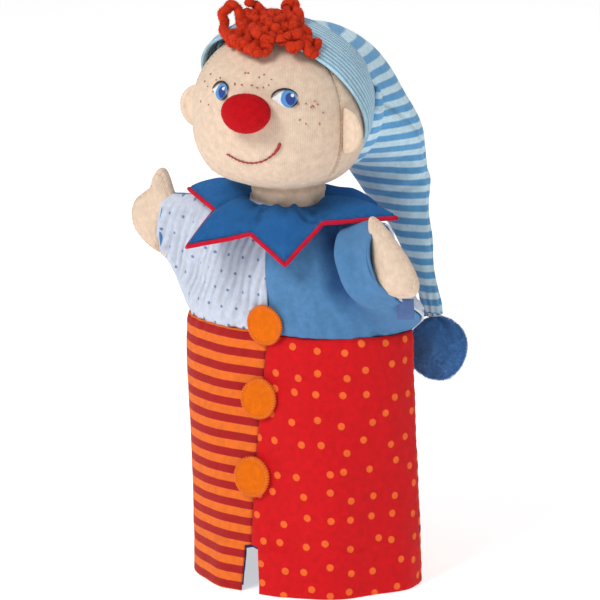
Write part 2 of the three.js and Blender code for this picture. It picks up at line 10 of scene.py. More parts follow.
import bmesh
import bpy
import numpy as np
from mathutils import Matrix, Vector

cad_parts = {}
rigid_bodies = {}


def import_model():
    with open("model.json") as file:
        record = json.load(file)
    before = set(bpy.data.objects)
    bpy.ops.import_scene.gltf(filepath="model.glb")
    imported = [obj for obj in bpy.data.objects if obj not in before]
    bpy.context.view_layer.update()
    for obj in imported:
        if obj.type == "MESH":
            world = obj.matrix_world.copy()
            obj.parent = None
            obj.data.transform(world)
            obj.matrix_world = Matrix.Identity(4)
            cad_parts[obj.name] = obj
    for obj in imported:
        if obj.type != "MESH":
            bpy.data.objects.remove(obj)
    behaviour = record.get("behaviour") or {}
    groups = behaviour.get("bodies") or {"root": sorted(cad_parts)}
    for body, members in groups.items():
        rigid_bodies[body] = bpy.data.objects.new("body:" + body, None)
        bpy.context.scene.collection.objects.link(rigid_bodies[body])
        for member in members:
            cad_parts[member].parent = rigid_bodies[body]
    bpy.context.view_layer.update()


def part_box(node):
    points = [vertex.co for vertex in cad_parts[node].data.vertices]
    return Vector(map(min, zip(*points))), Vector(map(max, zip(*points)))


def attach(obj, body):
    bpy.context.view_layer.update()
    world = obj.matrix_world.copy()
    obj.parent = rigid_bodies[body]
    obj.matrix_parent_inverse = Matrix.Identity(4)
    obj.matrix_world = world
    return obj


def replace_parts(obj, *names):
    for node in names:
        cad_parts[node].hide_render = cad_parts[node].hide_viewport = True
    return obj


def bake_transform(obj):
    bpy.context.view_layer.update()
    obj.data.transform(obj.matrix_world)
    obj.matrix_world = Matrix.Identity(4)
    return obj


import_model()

MM = 0.001
WORLD_LIGHT = 0.33
TAU = 2 * math.pi

# ---- driving dimensions, in millimetres and degrees -------------------------------------------------------
WAIST_Z = 147.0
SLIT_HEIGHT = 27.0
SLIT_HALF_WIDTH = 6.0
SIDE_ROUNDING = 55.0
CLOTH = 1.5
NECK_AXIS = (0.0, -14.0)
HEAD_CENTER = (0.0, -22.0, 276.0)
HEAD_RADIUS = 49.5
HEAD_HALF_HEIGHT = 47.0
HEAD_TURN = 10.0
SIDE_SEAM = 66.0
CHIN_POWER = 2.9
CAP_TILT = 32.5
CAP_RIM = 0.5
CAP_BAND_END = 26.0
POMPOM_CENTER = (59.0, 52.0, 126.0)
BUTTON_HEIGHTS = (151.9, 110.6, 66.9)
BUTTON_RADIUS = 11.0
ARMS = {
    "right": dict(sign=-1, pivot=(-42, -2, 189), forward=2, lift=2, hand_forward=0, hand_lift=15),
    "left": dict(sign=1, pivot=(42, -10, 189), forward=35, lift=15, hand_forward=0, hand_lift=-4),
}
ARM_LENGTH = 45.0
LABEL_HEIGHT = 12.5
LABEL_REACH = 9.6
NECK_COVER_RADIUS = 20.3
STRIPE_TOP = 330.0

# Height, half width, front and back of the tunic.
TUNIC = np.array([
    (0, 73, -57, 53), (67, 71, -51, 49), (110, 70, -44, 44), (147, 69, -36.5, 38.5),
    (160, 69, -37, 37), (175, 69, -38.5, 34), (190, 69, -41, 28), (201, 69, -42, 22),
    (210, 69, -40, 15), (217, 69, -37, 10), (225, 69, -35, 7),
])

low, high = (np.array(corner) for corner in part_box("neck_cover"))
ORIGIN = np.array([
    (low[0] + high[0]) / 2 - NECK_AXIS[0] * MM,
    (low[1] + high[1]) / 2 - NECK_AXIS[1] * MM,
    0.0,
])


def world(points):
    """Millimetres in the puppet's frame to metres in the row frame."""
    return np.asarray(points, dtype=float) * MM + ORIGIN


# ---- camera, light and floor ------------------------------------------------------------------------------
def direction_to(azimuth, elevation):
    a, e = math.radians(azimuth), math.radians(elevation)
    return Vector((math.sin(a) * math.cos(e), -math.cos(a) * math.cos(e), math.sin(e)))


def make_camera():
    azimuth, elevation, distance, lens = 32.0, 15.0, 2.60, 276.0
    target = Vector(world((-1.0, 0.0, 157.5)))
    camera = bpy.data.objects.new("camera", bpy.data.cameras.new("camera"))
    camera.data.lens = lens
    back = direction_to(azimuth, elevation)
    camera.location = target + back * distance
    camera.rotation_euler = back.to_track_quat("Z", "Y").to_euler()
    bpy.context.collection.objects.link(camera)
    bpy.context.scene.camera = camera


def area_light(name, azimuth, elevation, distance, size, power, color=(1, 1, 1)):
    lamp = bpy.data.lights.new(name, "AREA")
    lamp.size, lamp.energy, lamp.color = size, power, color
    light = bpy.data.objects.new(name, lamp)
    back = direction_to(azimuth, elevation)
    light.location = Vector(world((0, 0, 170))) + back * distance
    light.rotation_euler = back.to_track_quat("Z", "Y").to_euler()
    bpy.context.collection.objects.link(light)


def make_studio():
    area_light("key", -12, 44, 1.5, 0.5, 12.5, (1.0, 0.98, 0.95))
    area_light("fill", 85, 20, 1.7, 0.9, 3.0, (0.95, 0.97, 1.0))
    area_light("rim", 200, 50, 1.6, 0.7, 4.0)
    background = bpy.data.worlds.new("studio")
    background.use_nodes = True
    node = background.node_tree.nodes["Background"]
    node.inputs["Color"].default_value = (1.0, 1.0, 1.0, 1.0)
    tree = background.node_tree
    path = tree.nodes.new("ShaderNodeLightPath")
    strength = tree.nodes.new("ShaderNodeMapRange")
    strength.inputs["To Min"].default_value = WORLD_LIGHT
    strength.inputs["To Max"].default_value = 1.0
    tree.links.new(path.outputs["Is Camera Ray"], strength.inputs["Value"])
    tree.links.new(strength.outputs["Result"], node.inputs["Strength"])
    bpy.context.scene.world = background
    bpy.context.scene.view_settings.view_transform = "Standard"
    mesh = bpy.data.meshes.new("floor")
    half = 6.0
    corners = [(-half, -half, 0), (half, -half, 0), (half, half, 0), (-half, half, 0)]
    mesh.from_pydata(corners, [], [(0, 1, 2, 3)])
    floor = bpy.data.objects.new("floor", mesh)
    floor.location.z = -0.0004
    bpy.context.collection.objects.link(floor)
    paint = Shader("floor_paint", (0.93, 0.93, 0.93), roughness=0.8)
    paint.shader.inputs["Emission Color"].default_value = (1.0, 1.0, 1.0, 1.0)
    paint.shader.inputs["Emission Strength"].default_value = 0.56
    mesh.materials.append(paint.material)


# ---- materials --------------------------------------------------------------------------------------------
class Shader:
    """A procedural material around one Principled shader. Its pattern coordinates are the UV map, in metres."""

    def __init__(self, name, color, roughness=0.9, sheen=0.0, sheen_tint=None, specular=0.25):
        self.material = bpy.data.materials.new(name)
        self.material.use_nodes = True
        self.nodes = self.material.node_tree.nodes
        self.links = self.material.node_tree.links
        self.shader = self.nodes["Principled BSDF"]
        self.shader.inputs["Base Color"].default_value = (*color, 1)
        self.shader.inputs["Roughness"].default_value = roughness
        self.shader.inputs["Specular IOR Level"].default_value = specular
        self.shader.inputs["Sheen Weight"].default_value = sheen
        self.shader.inputs["Sheen Roughness"].default_value = 0.5
        self.shader.inputs["Sheen Tint"].default_value = (*(sheen_tint or color), 1)
        self.heights = []

    def put(self, socket, value):
        if isinstance(value, bpy.types.NodeSocket):
            self.links.new(value, socket)
        else:
            socket.default_value = (*value, 1) if isinstance(value, tuple) and len(value) == 3 and \
                socket.type == "RGBA" else value

    def node(self, kind, inputs=None, **settings):
        node = self.nodes.new(kind)
        for key, value in settings.items():
            setattr(node, key, value)
        for key, value in (inputs or {}).items():
            self.put(node.inputs[key], value)
        return node

    def math(self, operation, a, b=0.0, c=0.0):
        return self.node("ShaderNodeMath", {0: a, 1: b, 2: c}, operation=operation).outputs[0]

    def uv(self):
        coordinates = self.node("ShaderNodeUVMap", uv_map="metres").outputs[0]
        split = self.node("ShaderNodeSeparateXYZ", {0: coordinates})
        return coordinates, split.outputs[0], split.outputs[1]

    def place(self):
        return self.node("ShaderNodeTexCoord").outputs["Object"]

    def noise(self, vector, per_metre, detail=2.0, roughness=0.5):
        settings = {"Vector": vector, "Scale": per_metre, "Detail": detail, "Roughness": roughness}
        return self.node("ShaderNodeTexNoise", settings).outputs["Fac"]

    def mix(self, factor, a, b):
        node = self.node("ShaderNodeMix", data_type="RGBA")
        self.put(node.inputs["Factor"], factor)
        self.put(node.inputs[6], a)
        self.put(node.inputs[7], b)
        return node.outputs[2]

    def step(self, value, edge, softness):
        """0 below the edge and 1 above it, with a soft change."""
        span = {"Value": value, "From Min": edge - softness, "From Max": edge + softness}
        ramp = self.node("ShaderNodeMapRange", span)
        return ramp.outputs["Result"]

    def paint(self, color):
        """The base colour, mottled a little as dyed cloth is."""
        mottle = self.noise(self.place(), 260.0, 4.0, 0.65)
        dark = self.node("ShaderNodeHueSaturation", {"Value": 0.86, "Color": color}).outputs[0]
        light = self.node("ShaderNodeHueSaturation", {"Value": 1.1, "Color": color}).outputs[0]
        self.put(self.shader.inputs["Base Color"], self.mix(self.step(mottle, 0.5, 0.22), dark, light))
        return self

    def crease_shaded(self, color, depth):
        """The colour with painted shade in the creases: darker by that share where the surface's pointiness says it is
        hollow.
        """
        bend = self.node("ShaderNodeNewGeometry").outputs["Pointiness"]
        dark = self.node("ShaderNodeHueSaturation", {"Value": 1 - depth, "Color": color}).outputs[0]
        return self.mix(self.step(bend, 0.482, 0.022), dark, color)

    def bump(self, height, distance, strength=1.0):
        """Adds a relief of that many metres to those before it."""
        self.heights.append((height, distance, strength))
        return self

    def done(self):
        previous = None
        for height, distance, strength in self.heights:
            node = self.node("ShaderNodeBump", {"Height": height, "Distance": distance, "Strength": strength})
            if previous:
                self.links.new(previous.outputs[0], node.inputs["Normal"])
            previous = node
        if previous:
            self.links.new(previous.outputs[0], self.shader.inputs["Normal"])
        return self.material


def weave(shader, pitch=0.00055, depth=0.00012):
    """Plain weave: threads over and under at the pitch."""
    _, u, v = shader.uv()
    across = shader.math("SINE", shader.math("MULTIPLY", u, math.pi / pitch))
    along = shader.math("SINE", shader.math("MULTIPLY", v, math.pi / pitch))
    shader.bump(shader.math("MULTIPLY", across, along), depth, 0.6)


def pile(shader, depth=0.0004, fine=2600.0):
    """Short nap of velour, plush and brushed cotton."""
    shader.bump(shader.noise(shader.place(), fine, 3.0, 0.7), depth, 0.8)
    shader.bump(shader.noise(shader.place(), 420.0, 3.0, 0.6), depth * 1.6, 0.5)


def striped_cloth():
    shader = Shader("striped_cloth", (0.6, 0.08, 0.06), 0.88, 0.10, (1.0, 0.7, 0.5))
    _, _, v = shader.uv()
    wobble = shader.math("MULTIPLY", shader.noise(shader.place(), 60.0), 0.0006)
    period = 0.0094
    lowered = shader.math("SUBTRACT", shader.math("ADD", v, wobble), 0.144)
    phase = shader.math("FRACT", shader.math("DIVIDE", shader.math("ADD", lowered, 100 * period), period))
    band = shader.math("ABSOLUTE", shader.math("SUBTRACT", phase, 0.5))
    shader.paint(shader.mix(shader.step(band, 0.255, 0.012), (0.86, 0.165, 0.018), (0.42, 0.008, 0.012)))
    weave(shader)
    pile(shader, 0.0002)
    return shader.done()


def dotted_red_cloth():
    shader = Shader("dotted_red_cloth", (0.62, 0.01, 0.02), 0.88, 0.08, (1.0, 0.5, 0.4))
    coordinates, _, _ = shader.uv()
    spacing = 0.0138
    cells = shader.node("ShaderNodeTexVoronoi", {"Vector": coordinates, "Scale": 1 / spacing, "Randomness": 0.52},
                        voronoi_dimensions="2D")
    dot = shader.step(cells.outputs["Distance"], 0.145, 0.014)
    shader.paint(shader.mix(dot, (0.90, 0.15, 0.025), (0.66, 0.0035, 0.008)))
    weave(shader)
    pile(shader, 0.0002)
    return shader.done()


def dotted_pale_cloth():
    shader = Shader("dotted_pale_cloth", (0.55, 0.6, 0.75), 0.85, 0.15, (1, 1, 1))
    _, u, v = shader.uv()
    pitch = 0.0102
    row = shader.math("DIVIDE", v, pitch)
    shift = shader.math("MULTIPLY", shader.math("MODULO", shader.math("FLOOR", row), 2.0), 0.5)
    column = shader.math("ADD", shader.math("DIVIDE", u, pitch), shift)
    du = shader.math("SUBTRACT", shader.math("FRACT", column), 0.5)
    dv = shader.math("SUBTRACT", shader.math("FRACT", row), 0.5)
    far = shader.math("SQRT", shader.math("ADD", shader.math("MULTIPLY", du, du), shader.math("MULTIPLY", dv, dv)))
    dot = shader.step(far, 0.088, 0.025)
    # Painted shade: the dotted cloth is darkened by 0.3 in its creases.
    shader.paint(shader.crease_shaded(shader.mix(dot, (0.15, 0.22, 0.40), (0.60, 0.66, 0.79)), 0.3))
    weave(shader, 0.0005, 0.0001)
    return shader.done()


def plush_cloth(name, color, sheen=0.5, depth=0.0004, crease=0.0):
    shader = Shader(name, color, 0.95, sheen, tuple(min(1.0, c * 1.7 + 0.12) for c in color), 0.12)
    # With crease set, painted shade darkens the plush in its creases.
    shader.paint(shader.crease_shaded(color, crease) if crease else color)
    pile(shader, depth)
    return shader.done()


def velour_cloth():
    """Blue velour with painted shade: a dark band painted along the deep fold from the shoulder down to the side seam,
    and painted shade in its creases.
    """
    color = (0.088, 0.235, 0.46)
    shader = Shader("blue_velour", color, 0.95, 0.4, (0.27, 0.52, 0.90), 0.12)
    _, u, v = shader.uv()
    line = shader.math("MULTIPLY_ADD", v, -FOLD_SLOPE, (FOLD_X + FOLD_SLOPE * FOLD_TOP) * MM)
    away = shader.math("DIVIDE", shader.math("SUBTRACT", u, line), 0.0085)
    wobble = shader.math("MULTIPLY", shader.math("SUBTRACT", shader.noise(shader.place(), 60.0), 0.5), 0.9)
    near = shader.math("ABSOLUTE", shader.math("ADD", away, wobble))
    fold_shade = shader.math("SUBTRACT", 1.0, shader.step(near, 0.85, 0.85))
    height = shader.step(v, 0.163, 0.012)
    depth = shader.math("MULTIPLY", fold_shade, height)
    # Painted shadow: the band along the fold is painted dark navy; elsewhere the velour gets painted crease shade.
    shader.paint(shader.mix(depth, shader.crease_shaded(color, 0.35), (0.022, 0.078, 0.235)))
    pile(shader)
    return shader.done()


def jersey_cloth():
    shader = Shader("jersey", (0.80, 0.62, 0.46), 0.85, 0.12, (1.0, 0.85, 0.75), 0.2)
    _, u, v = shader.uv()
    pitch = 0.00105
    wave = shader.math("SINE", shader.math("MULTIPLY", u, TAU / pitch))
    loops = shader.math("SINE", shader.math("MULTIPLY", v, TAU / 0.0009))
    tint = shader.mix(shader.step(wave, 0.1, 1.1), (0.735, 0.565, 0.43), (0.79, 0.62, 0.485))
    shader.paint(tint)
    shader.bump(wave, 0.00012, 0.4)
    shader.bump(shader.math("MULTIPLY", wave, loops), 0.00006, 0.3)
    shader.bump(shader.noise(shader.place(), 170.0, 3.0, 0.6), 0.0008, 0.3)
    return shader.done()


def pinstripe_knit():
    shader = Shader("pinstripe_knit", (0.30, 0.52, 0.74), 0.88, 0.2, (0.9, 0.95, 1.0))
    _, u, v = shader.uv()
    period = 0.0027
    phase = shader.math("FRACT", shader.math("DIVIDE", v, period))
    band = shader.math("ABSOLUTE", shader.math("SUBTRACT", phase, 0.5))
    shader.paint(shader.mix(shader.step(band, 0.36, 0.07), (0.50, 0.74, 0.88), (0.19, 0.42, 0.62)))
    shader.bump(shader.math("COSINE", shader.math("MULTIPLY", v, TAU / period)), 0.0004, 0.8)
    shader.bump(shader.math("SINE", shader.math("MULTIPLY", u, TAU / 0.0011)), 0.00015, 0.6)
    return shader.done()


def striped_jersey():
    shader = Shader("striped_jersey", (0.25, 0.5, 0.78), 0.86, 0.22, (0.9, 0.97, 1.0))
    _, u, v = shader.uv()
    wobble = shader.math("MULTIPLY", shader.noise(shader.place(), 90.0), 0.0007)
    phase = shader.math("FRACT", shader.math("DIVIDE", shader.math("ADD", v, wobble), 0.0077))
    band = shader.math("ABSOLUTE", shader.math("SUBTRACT", phase, 0.5))
    shader.paint(shader.mix(shader.step(band, 0.25, 0.05), (0.62, 0.83, 0.94), (0.12, 0.38, 0.69)))
    shader.bump(shader.math("SINE", shader.math("MULTIPLY", u, TAU / 0.001)), 0.00012, 0.6)
    shader.bump(shader.noise(shader.place(), 1500.0), 0.0002, 0.5)
    return shader.done()


def felt_cloth():
    shader = Shader("felt", (0.80, 0.17, 0.005), 0.95, 0.12, (1.0, 0.6, 0.2), 0.1)
    shader.paint((0.84, 0.165, 0.004))
    shader.bump(shader.noise(shader.place(), 1900.0, 5.0, 0.8), 0.0005, 0.9)
    shader.bump(shader.noise(shader.place(), 300.0, 2.0), 0.0005, 0.5)
    return shader.done()


def thread(name, color, sheen=0.1):
    shader = Shader(name, color, 0.55, sheen, (1, 1, 1), 0.5)
    shader.bump(shader.noise(shader.place(), 4200.0, 2.0), 0.0001, 0.6)
    return shader.done()


def card():
    shader = Shader("card", (0.45, 0.32, 0.19), 0.9)
    shader.paint((0.45, 0.32, 0.19))
    shader.bump(shader.noise(shader.place(), 1200.0, 4.0), 0.0002, 0.6)
    return shader.done()


MATERIALS = {}


def material(name):
    """Each material is made once, when it is first asked for."""
    makers = {
        "striped_cloth": striped_cloth,
        "dotted_red_cloth": dotted_red_cloth,
        "dotted_pale_cloth": dotted_pale_cloth,
        "blue_velour": velour_cloth,
        # Painted shade: blue_plush (the collar) is darkened by 0.5 in its creases.
        "blue_plush": lambda: plush_cloth("blue_plush", (0.020, 0.125, 0.36), 0.4, 0.0006, 0.5),
        # The pompom's plush is the collar's blue painted lighter, to make up for the shade the pompom hangs in.
        "pompom_plush_lit": lambda: plush_cloth("pompom_plush_lit", (0.115, 0.31, 0.66), 0.5, 0.0005),
        "red_plush": lambda: plush_cloth("red_plush", (0.55, 0.004, 0.010), 0.25, 0.0005),
        "lining_cloth": lambda: plush_cloth("lining_cloth", (0.02, 0.06, 0.25), 0.1, 0.0002),
        "red_piping": lambda: plush_cloth("red_piping", (0.58, 0.01, 0.035), 0.15, 0.0002),
        "ribbon": lambda: plush_cloth("ribbon", (0.10, 0.17, 0.36), 0.1, 0.0001),
        "stuffing": lambda: plush_cloth("stuffing", (0.85, 0.84, 0.80), 0.4, 0.0010),
        # Painted shade: chenille (the hair) is darkened by 0.45 in its creases.
        "chenille": lambda: plush_cloth("chenille", (0.68, 0.040, 0.010), 0.35, 0.0006, 0.45),
        "jersey": jersey_cloth,
        "felt": felt_cloth,
        "pinstripe_knit": pinstripe_knit,
        "striped_jersey": striped_jersey,
        "cardboard": card,
        "thread_white": lambda: thread("thread_white", (0.86, 0.88, 0.90)),
        "thread_iris": lambda: thread("thread_iris", (0.10, 0.32, 0.68)),
        "thread_pupil": lambda: thread("thread_pupil", (0.012, 0.055, 0.30)),
        "thread_lid": lambda: thread("thread_lid", (0.010, 0.015, 0.035)),
        "thread_smile": lambda: thread("thread_smile", (0.36, 0.022, 0.030)),
        "thread_freckle": lambda: thread("thread_freckle", (0.47, 0.16, 0.09)),
        "thread_orange": lambda: thread("thread_orange", (0.84, 0.19, 0.008)),
        "thread_seam": lambda: thread("thread_seam", (0.55, 0.42, 0.32)),
    }
    if name not in MATERIALS:
        MATERIALS[name] = makers[name]()
    return MATERIALS[name]


# ---- mesh helpers -----------------------------------------------------------------------------------------
def smoothstep(low_edge, high_edge, value):
    t = np.clip((value - low_edge) / (high_edge - low_edge), 0, 1)
    return t * t * (3 - 2 * t)


def ripple(u, v, seed, count=5, reach=1.0):
    """A smooth wandering surface between about -1 and 1, made of a few waves."""
    draw = random.Random(seed)
    total = np.zeros(np.broadcast(u, v).shape)
    for index in range(count):
        frequency = reach * (0.6 + index * 0.55)
        angle = draw.uniform(0, math.pi)
        phase = draw.uniform(0, TAU)
        way = u * math.cos(angle) + v * math.sin(angle)
        total = total + np.sin(TAU * frequency * way + phase) / (1 + 0.6 * index)
    return total / 2.2


def grid_normals(points):
    """Unit normals of a (rows, columns, 3) grid; columns run along U and rows along V."""
    du = np.gradient(points, axis=1)
    dv = np.gradient(points, axis=0)
    normals = np.cross(du, dv)
    return normals / np.maximum(np.linalg.norm(normals, axis=2, keepdims=True), 1e-9)


def link(name, mesh, material_name):
    piece = bpy.data.objects.new(name, mesh)
    bpy.context.collection.objects.link(piece)
    if material_name:
        mesh.materials.append(material(material_name))
    return piece


def set_uv(mesh, vertex_uv):
    """vertex_uv: one (u, v) per vertex, in metres."""
    layer = mesh.uv_layers.new(name="metres")
    index = np.empty(len(mesh.loops), dtype=np.int32)
    mesh.loops.foreach_get("vertex_index", index)
    layer.data.foreach_set("uv", np.asarray(vertex_uv, dtype=np.float32)[index].ravel())


def make_mesh(name, points, faces, material_name, uv=None):
    mesh = bpy.data.meshes.new(name)
    mesh.from_pydata(world(points).tolist(), [], [tuple(face) for face in faces])
    if uv is not None:
        set_uv(mesh, uv)
    mesh.shade_smooth()
    return link(name, mesh, material_name)


def grid_faces(rows, columns, wrap=False):
    faces = []
    for row in range(rows - 1):
        for column in range(columns if wrap else columns - 1):
            right = (column + 1) % columns
            a, b = row * columns + column, row * columns + right
            faces.append((a, b, b + columns, a + columns))
    return faces


def lengths(points):
    """Distances run along U and V of a grid, in metres, the V run from the first row."""
    du = np.linalg.norm(np.diff(points, axis=1), axis=2)
    dv = np.linalg.norm(np.diff(points, axis=0), axis=2)
    u = np.concatenate([np.zeros((points.shape[0], 1)), np.cumsum(du, axis=1)], axis=1)
    v = np.concatenate([np.zeros((1, points.shape[1])), np.cumsum(dv, axis=0)], axis=0)
    return np.stack([u, v], axis=2) * MM


def sheet_piece(name, points, material_name, uv=None, thickness=CLOTH, wrap=False):
    """A sheet of cloth from a (rows, columns, 3) grid in millimetres, thickened inwards."""
    rows, columns = points.shape[:2]
    uv = lengths(points) if uv is None else uv
    piece = make_mesh(name, points.reshape(-1, 3), grid_faces(rows, columns, wrap), material_name,
                      uv.reshape(-1, 2))
    if thickness:
        solid = piece.modifiers.new("cloth", "SOLIDIFY")
        solid.thickness = thickness * MM
        solid.offset = -1.0
        solid.use_rim = True
    return piece


def tube_mesh(paths, radii, sides=8, closed=False):
    """Points and faces of round tubes with closed ends: paths is a list of (n, 3) arrays, radii of (n,) arrays."""
    all_points, all_faces, all_uv, base = [], [], [], 0
    around = np.arange(sides) * TAU / sides
    for path, radius in zip(paths, radii):
        path = np.asarray(path, dtype=float)
        count = len(path)
        radius = np.broadcast_to(radius, (count,))
        tangent = (np.roll(path, -1, 0) - np.roll(path, 1, 0)) if closed else np.gradient(path, axis=0)
        tangent /= np.maximum(np.linalg.norm(tangent, axis=1, keepdims=True), 1e-9)
        side = np.cross(tangent[0], (0.31, 0.22, 0.92))
        sides_list = []
        for t in tangent:
            side = side - t * np.dot(side, t)
            side = side / np.linalg.norm(side)
            sides_list.append(side)
        first = np.array(sides_list)
        second = np.cross(tangent, first)
        ring = (first[:, None] * np.cos(around)[None, :, None] + second[:, None] * np.sin(around)[None, :, None])
        all_points.append((path[:, None] + ring * radius[:, None, None]).reshape(-1, 3))
        run = np.concatenate([[0], np.cumsum(np.linalg.norm(np.diff(path, axis=0), axis=1))])
        uv = np.stack(np.broadcast_arrays(around[None] * radius[:, None], run[:, None]), axis=2).reshape(-1, 2)
        all_uv.append(uv * MM)
        rows = count + 1 if closed else count
        for row in range(rows - 1):
            for k in range(sides):
                a = base + row * sides + k
                b = base + row * sides + (k + 1) % sides
                c = base + ((row + 1) % count) * sides + (k + 1) % sides
                d = base + ((row + 1) % count) * sides + k
                all_faces.append((a, b, c, d))
        if not closed:
            all_faces.append(tuple(base + k for k in reversed(range(sides))))
            all_faces.append(tuple(base + (count - 1) * sides + k for k in range(sides)))
        base += count * sides
    return np.concatenate(all_points), all_faces, np.concatenate(all_uv)


def tubes(name, paths, radii, material_name, sides=8, closed=False):
    points, faces, uv = tube_mesh(paths, radii, sides, closed)
    return make_mesh(name, points, faces, material_name, uv)


def fibres(name, roots, normals, length, width, material_name, seed, lean=0.5):
    """A coat of short fibres: each is a bent blade of two pieces that tapers to a point."""
    draw = np.random.default_rng(seed)
    count = len(roots)
    drift = draw.normal(0, lean, (count, 3))
    up = normals + drift
    up /= np.linalg.norm(up, axis=1, keepdims=True)
    tip_way = up + draw.normal(0, lean, (count, 3))
    tip_way /= np.linalg.norm(tip_way, axis=1, keepdims=True)
    side = np.cross(up, draw.normal(0, 1, (count, 3)))
    side /= np.maximum(np.linalg.norm(side, axis=1, keepdims=True), 1e-9)
    long = length * draw.uniform(0.7, 1.15, (count, 1))
    middle = roots + up * long * 0.55
    tip = middle + tip_way * long * 0.5
    half = side * width / 2
    points = np.stack([roots - half, roots + half, middle - half * 0.8, middle + half * 0.8, tip], axis=1)
    start = np.arange(count)[:, None] * 5
    quads = (start + np.array([0, 1, 3, 2])).tolist()
    tips = (start + np.array([2, 3, 4])).tolist()
    return make_mesh(name, points.reshape(-1, 3), quads + tips, material_name)


def ride(piece, body, nodes=()):
    """Parents a piece to its body and hides the CAD nodes it stands for."""
    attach(piece, body)
    if nodes:
        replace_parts(piece, *nodes)
    return piece


# ---- tunic ------------------------------------------------------------------------------------------------
def tunic_section(z):
    """Half width, middle and half depth of the tunic at a height, rounded off between the stations."""
    reach = 9.0
    values = [sum(np.interp(z + d, TUNIC[:, 0], TUNIC[:, k]) for d in (-reach, 0, reach)) / 3 for k in (1, 2, 3)]
    return values[0], (values[1] + values[2]) / 2, (values[2] - values[1]) / 2


def swell(share):
    """How far two layers sewn at an edge stand apart, from 0 at the edge to 1."""
    return np.sqrt(1 - (1 - np.clip(share, 0, 1)) ** 2)


def side_shift(x, z, left):
    """How far the flattened tunic is twisted: its left side is drawn back and its right side forward."""
    share = np.clip(x / 70, 0, 1) ** 2
    return (13 if left else -6) * share * smoothstep(174, 150, z)


def side_draw(z, left):
    """The share of its width that the tunic keeps where it is drawn in."""
    low = smoothstep(WAIST_Z, 0, z)
    waist, hem = (0.965, 1.015) if left else (0.98, 0.755)
    drawn = waist + (hem - waist) * low
    return drawn + (1 - drawn) * smoothstep(150, 172, z)


def outward_order(points, front, left):
    """Puts the columns in the order that makes the normals point out of the tunic."""
    return points if front == left else points[:, ::-1]


def skirt_grid(front, left, inset=0.0, bottom=0.0, slit_height=SLIT_HEIGHT):
    """One quarter of the skirt: columns run from the centre seam to the side seam, rows from hem to waist."""
    z = np.concatenate([np.linspace(bottom, slit_height - 0.6, 14), np.linspace(slit_height + 0.4, WAIST_Z, 58)])
    z = z[:, None]
    t = np.linspace(0, 1, 64)[None, :]
    half_width, middle, half_depth = tunic_section(z)
    in_slit = (z < slit_height) & front
    x = 0.05 + (half_width - 0.05) * np.sin(t * math.pi / 2)
    slit = np.where(in_slit, SLIT_HALF_WIDTH + 0.9 * np.cos(z / slit_height * math.pi), 0)
    x = x + slit * np.exp(-x / 9)
    rounding = (half_width - x) / SIDE_ROUNDING
    depth = half_depth * (swell(rounding) if front else np.sin(np.clip(rounding, 0, 1) * math.pi / 2))
    middle = middle + side_shift(x, z, left)
    x = x * side_draw(z, left)
    sign = -1 if front else 1
    points = np.stack(np.broadcast_arrays(x, middle + sign * depth, z), axis=2)
    along = lengths(points)[:, :, 0] / MM
    to_side = along[:, -1:] - along
    to_waist = WAIST_Z - z
    seam = -1.0 * np.exp(-((x / 1.7) ** 2)) - 1.1 * np.exp(-((to_side / 2.0) ** 2))
    seam = seam - 1.0 * np.exp(-((to_waist / 2.2) ** 2))
    pucker = 0.32 * np.sin(TAU * along / 8.5 + 3 * front) * np.exp(-to_waist / 9)
    pucker = pucker + 0.22 * np.sin(TAU * z / 7.3) * (np.exp(-x / 5) + np.exp(-to_side / 6))
    seed = 11 + 2 * front + left
    broad = 1.5 * ripple(along / 95, z / 190, seed) * smoothstep(0, 14, x) * smoothstep(0, 20, to_side)
    drape = 1.3 * np.sin(TAU * along / 47 + seed) * smoothstep(120, 10, z) * smoothstep(0, 20, to_side) * \
        smoothstep(2, 24, x)
    fine = 0.18 * ripple(along / 14, z / 22, seed + 30)
    relief = seam + pucker + broad + drape + fine - inset
    if not left:
        points = points * np.array([-1, 1, 1])
    points = outward_order(points, front, left)
    relief = outward_order(np.broadcast_to(relief, points.shape[:2]), front, left)
    normals = grid_normals(points)
    normals[:, :, 2] = 0
    normals /= np.linalg.norm(normals, axis=2, keepdims=True)
    return points + normals * relief[:, :, None]


def side_seam_uv(points, front, left):
    """Pattern coordinates: U from the side seam, V the height, so that stripes run level."""
    run = lengths(points)
    u = run[:, -1:, 0] - run[:, :, 0] if front == left else run[:, :, 0]
    if left:
        u = -u
    return np.stack([u + 0.05 * (2 * front + left), points[:, :, 2] * MM], axis=2)


QUARTERS = [("front_left", True, True), ("front_right", True, False), ("back_left", False, True),
            ("back_right", False, False)]


def make_skirt():
    for name, front, left in QUARTERS:
        striped = front != left
        cloth = "striped_cloth" if striped else "dotted_red_cloth"
        points = skirt_grid(front, left)
        panel = sheet_piece(f"skirt_cloth_{name}", points, cloth, side_seam_uv(points, front, left))
        ride(panel, "tunic", [f"skirt_{name}"])


def make_lining():
    for left in (True, False):
        side = "left" if left else "right"
        halves = [skirt_grid(front, left, CLOTH + 0.9, 2.6, SLIT_HEIGHT - 2.2) for front in (True, False)]
        if left:
            points = np.concatenate([halves[0], halves[1][:, 1:]], axis=1)
        else:
            points = np.concatenate([halves[1], halves[0][:, 1:]], axis=1)
        lining = sheet_piece(f"lining_cloth_{side}", points, "lining_cloth", thickness=0.7)
        ride(lining, "tunic", [f"lining_{side}"])


# ---- bodice and sleeves -----------------------------------------------------------------------------------
CUFF_X = 88.0


def bezier(a, b, c, t):
    a, b, c = (np.array(p, dtype=float) for p in (a, b, c))
    t = t[:, None]
    return (1 - t) ** 2 * a + 2 * t * (1 - t) * b + t * t * c


def two_part(first, second, split, t):
    """A line made of two curves that meet at t = split; each curve takes its own 0 to 1."""
    head = first(np.clip(t / split, 0, 1))
    tail = second(np.clip((t - split) / (1 - split), 0, 1))
    return np.where((t < split)[:, None], head, tail)


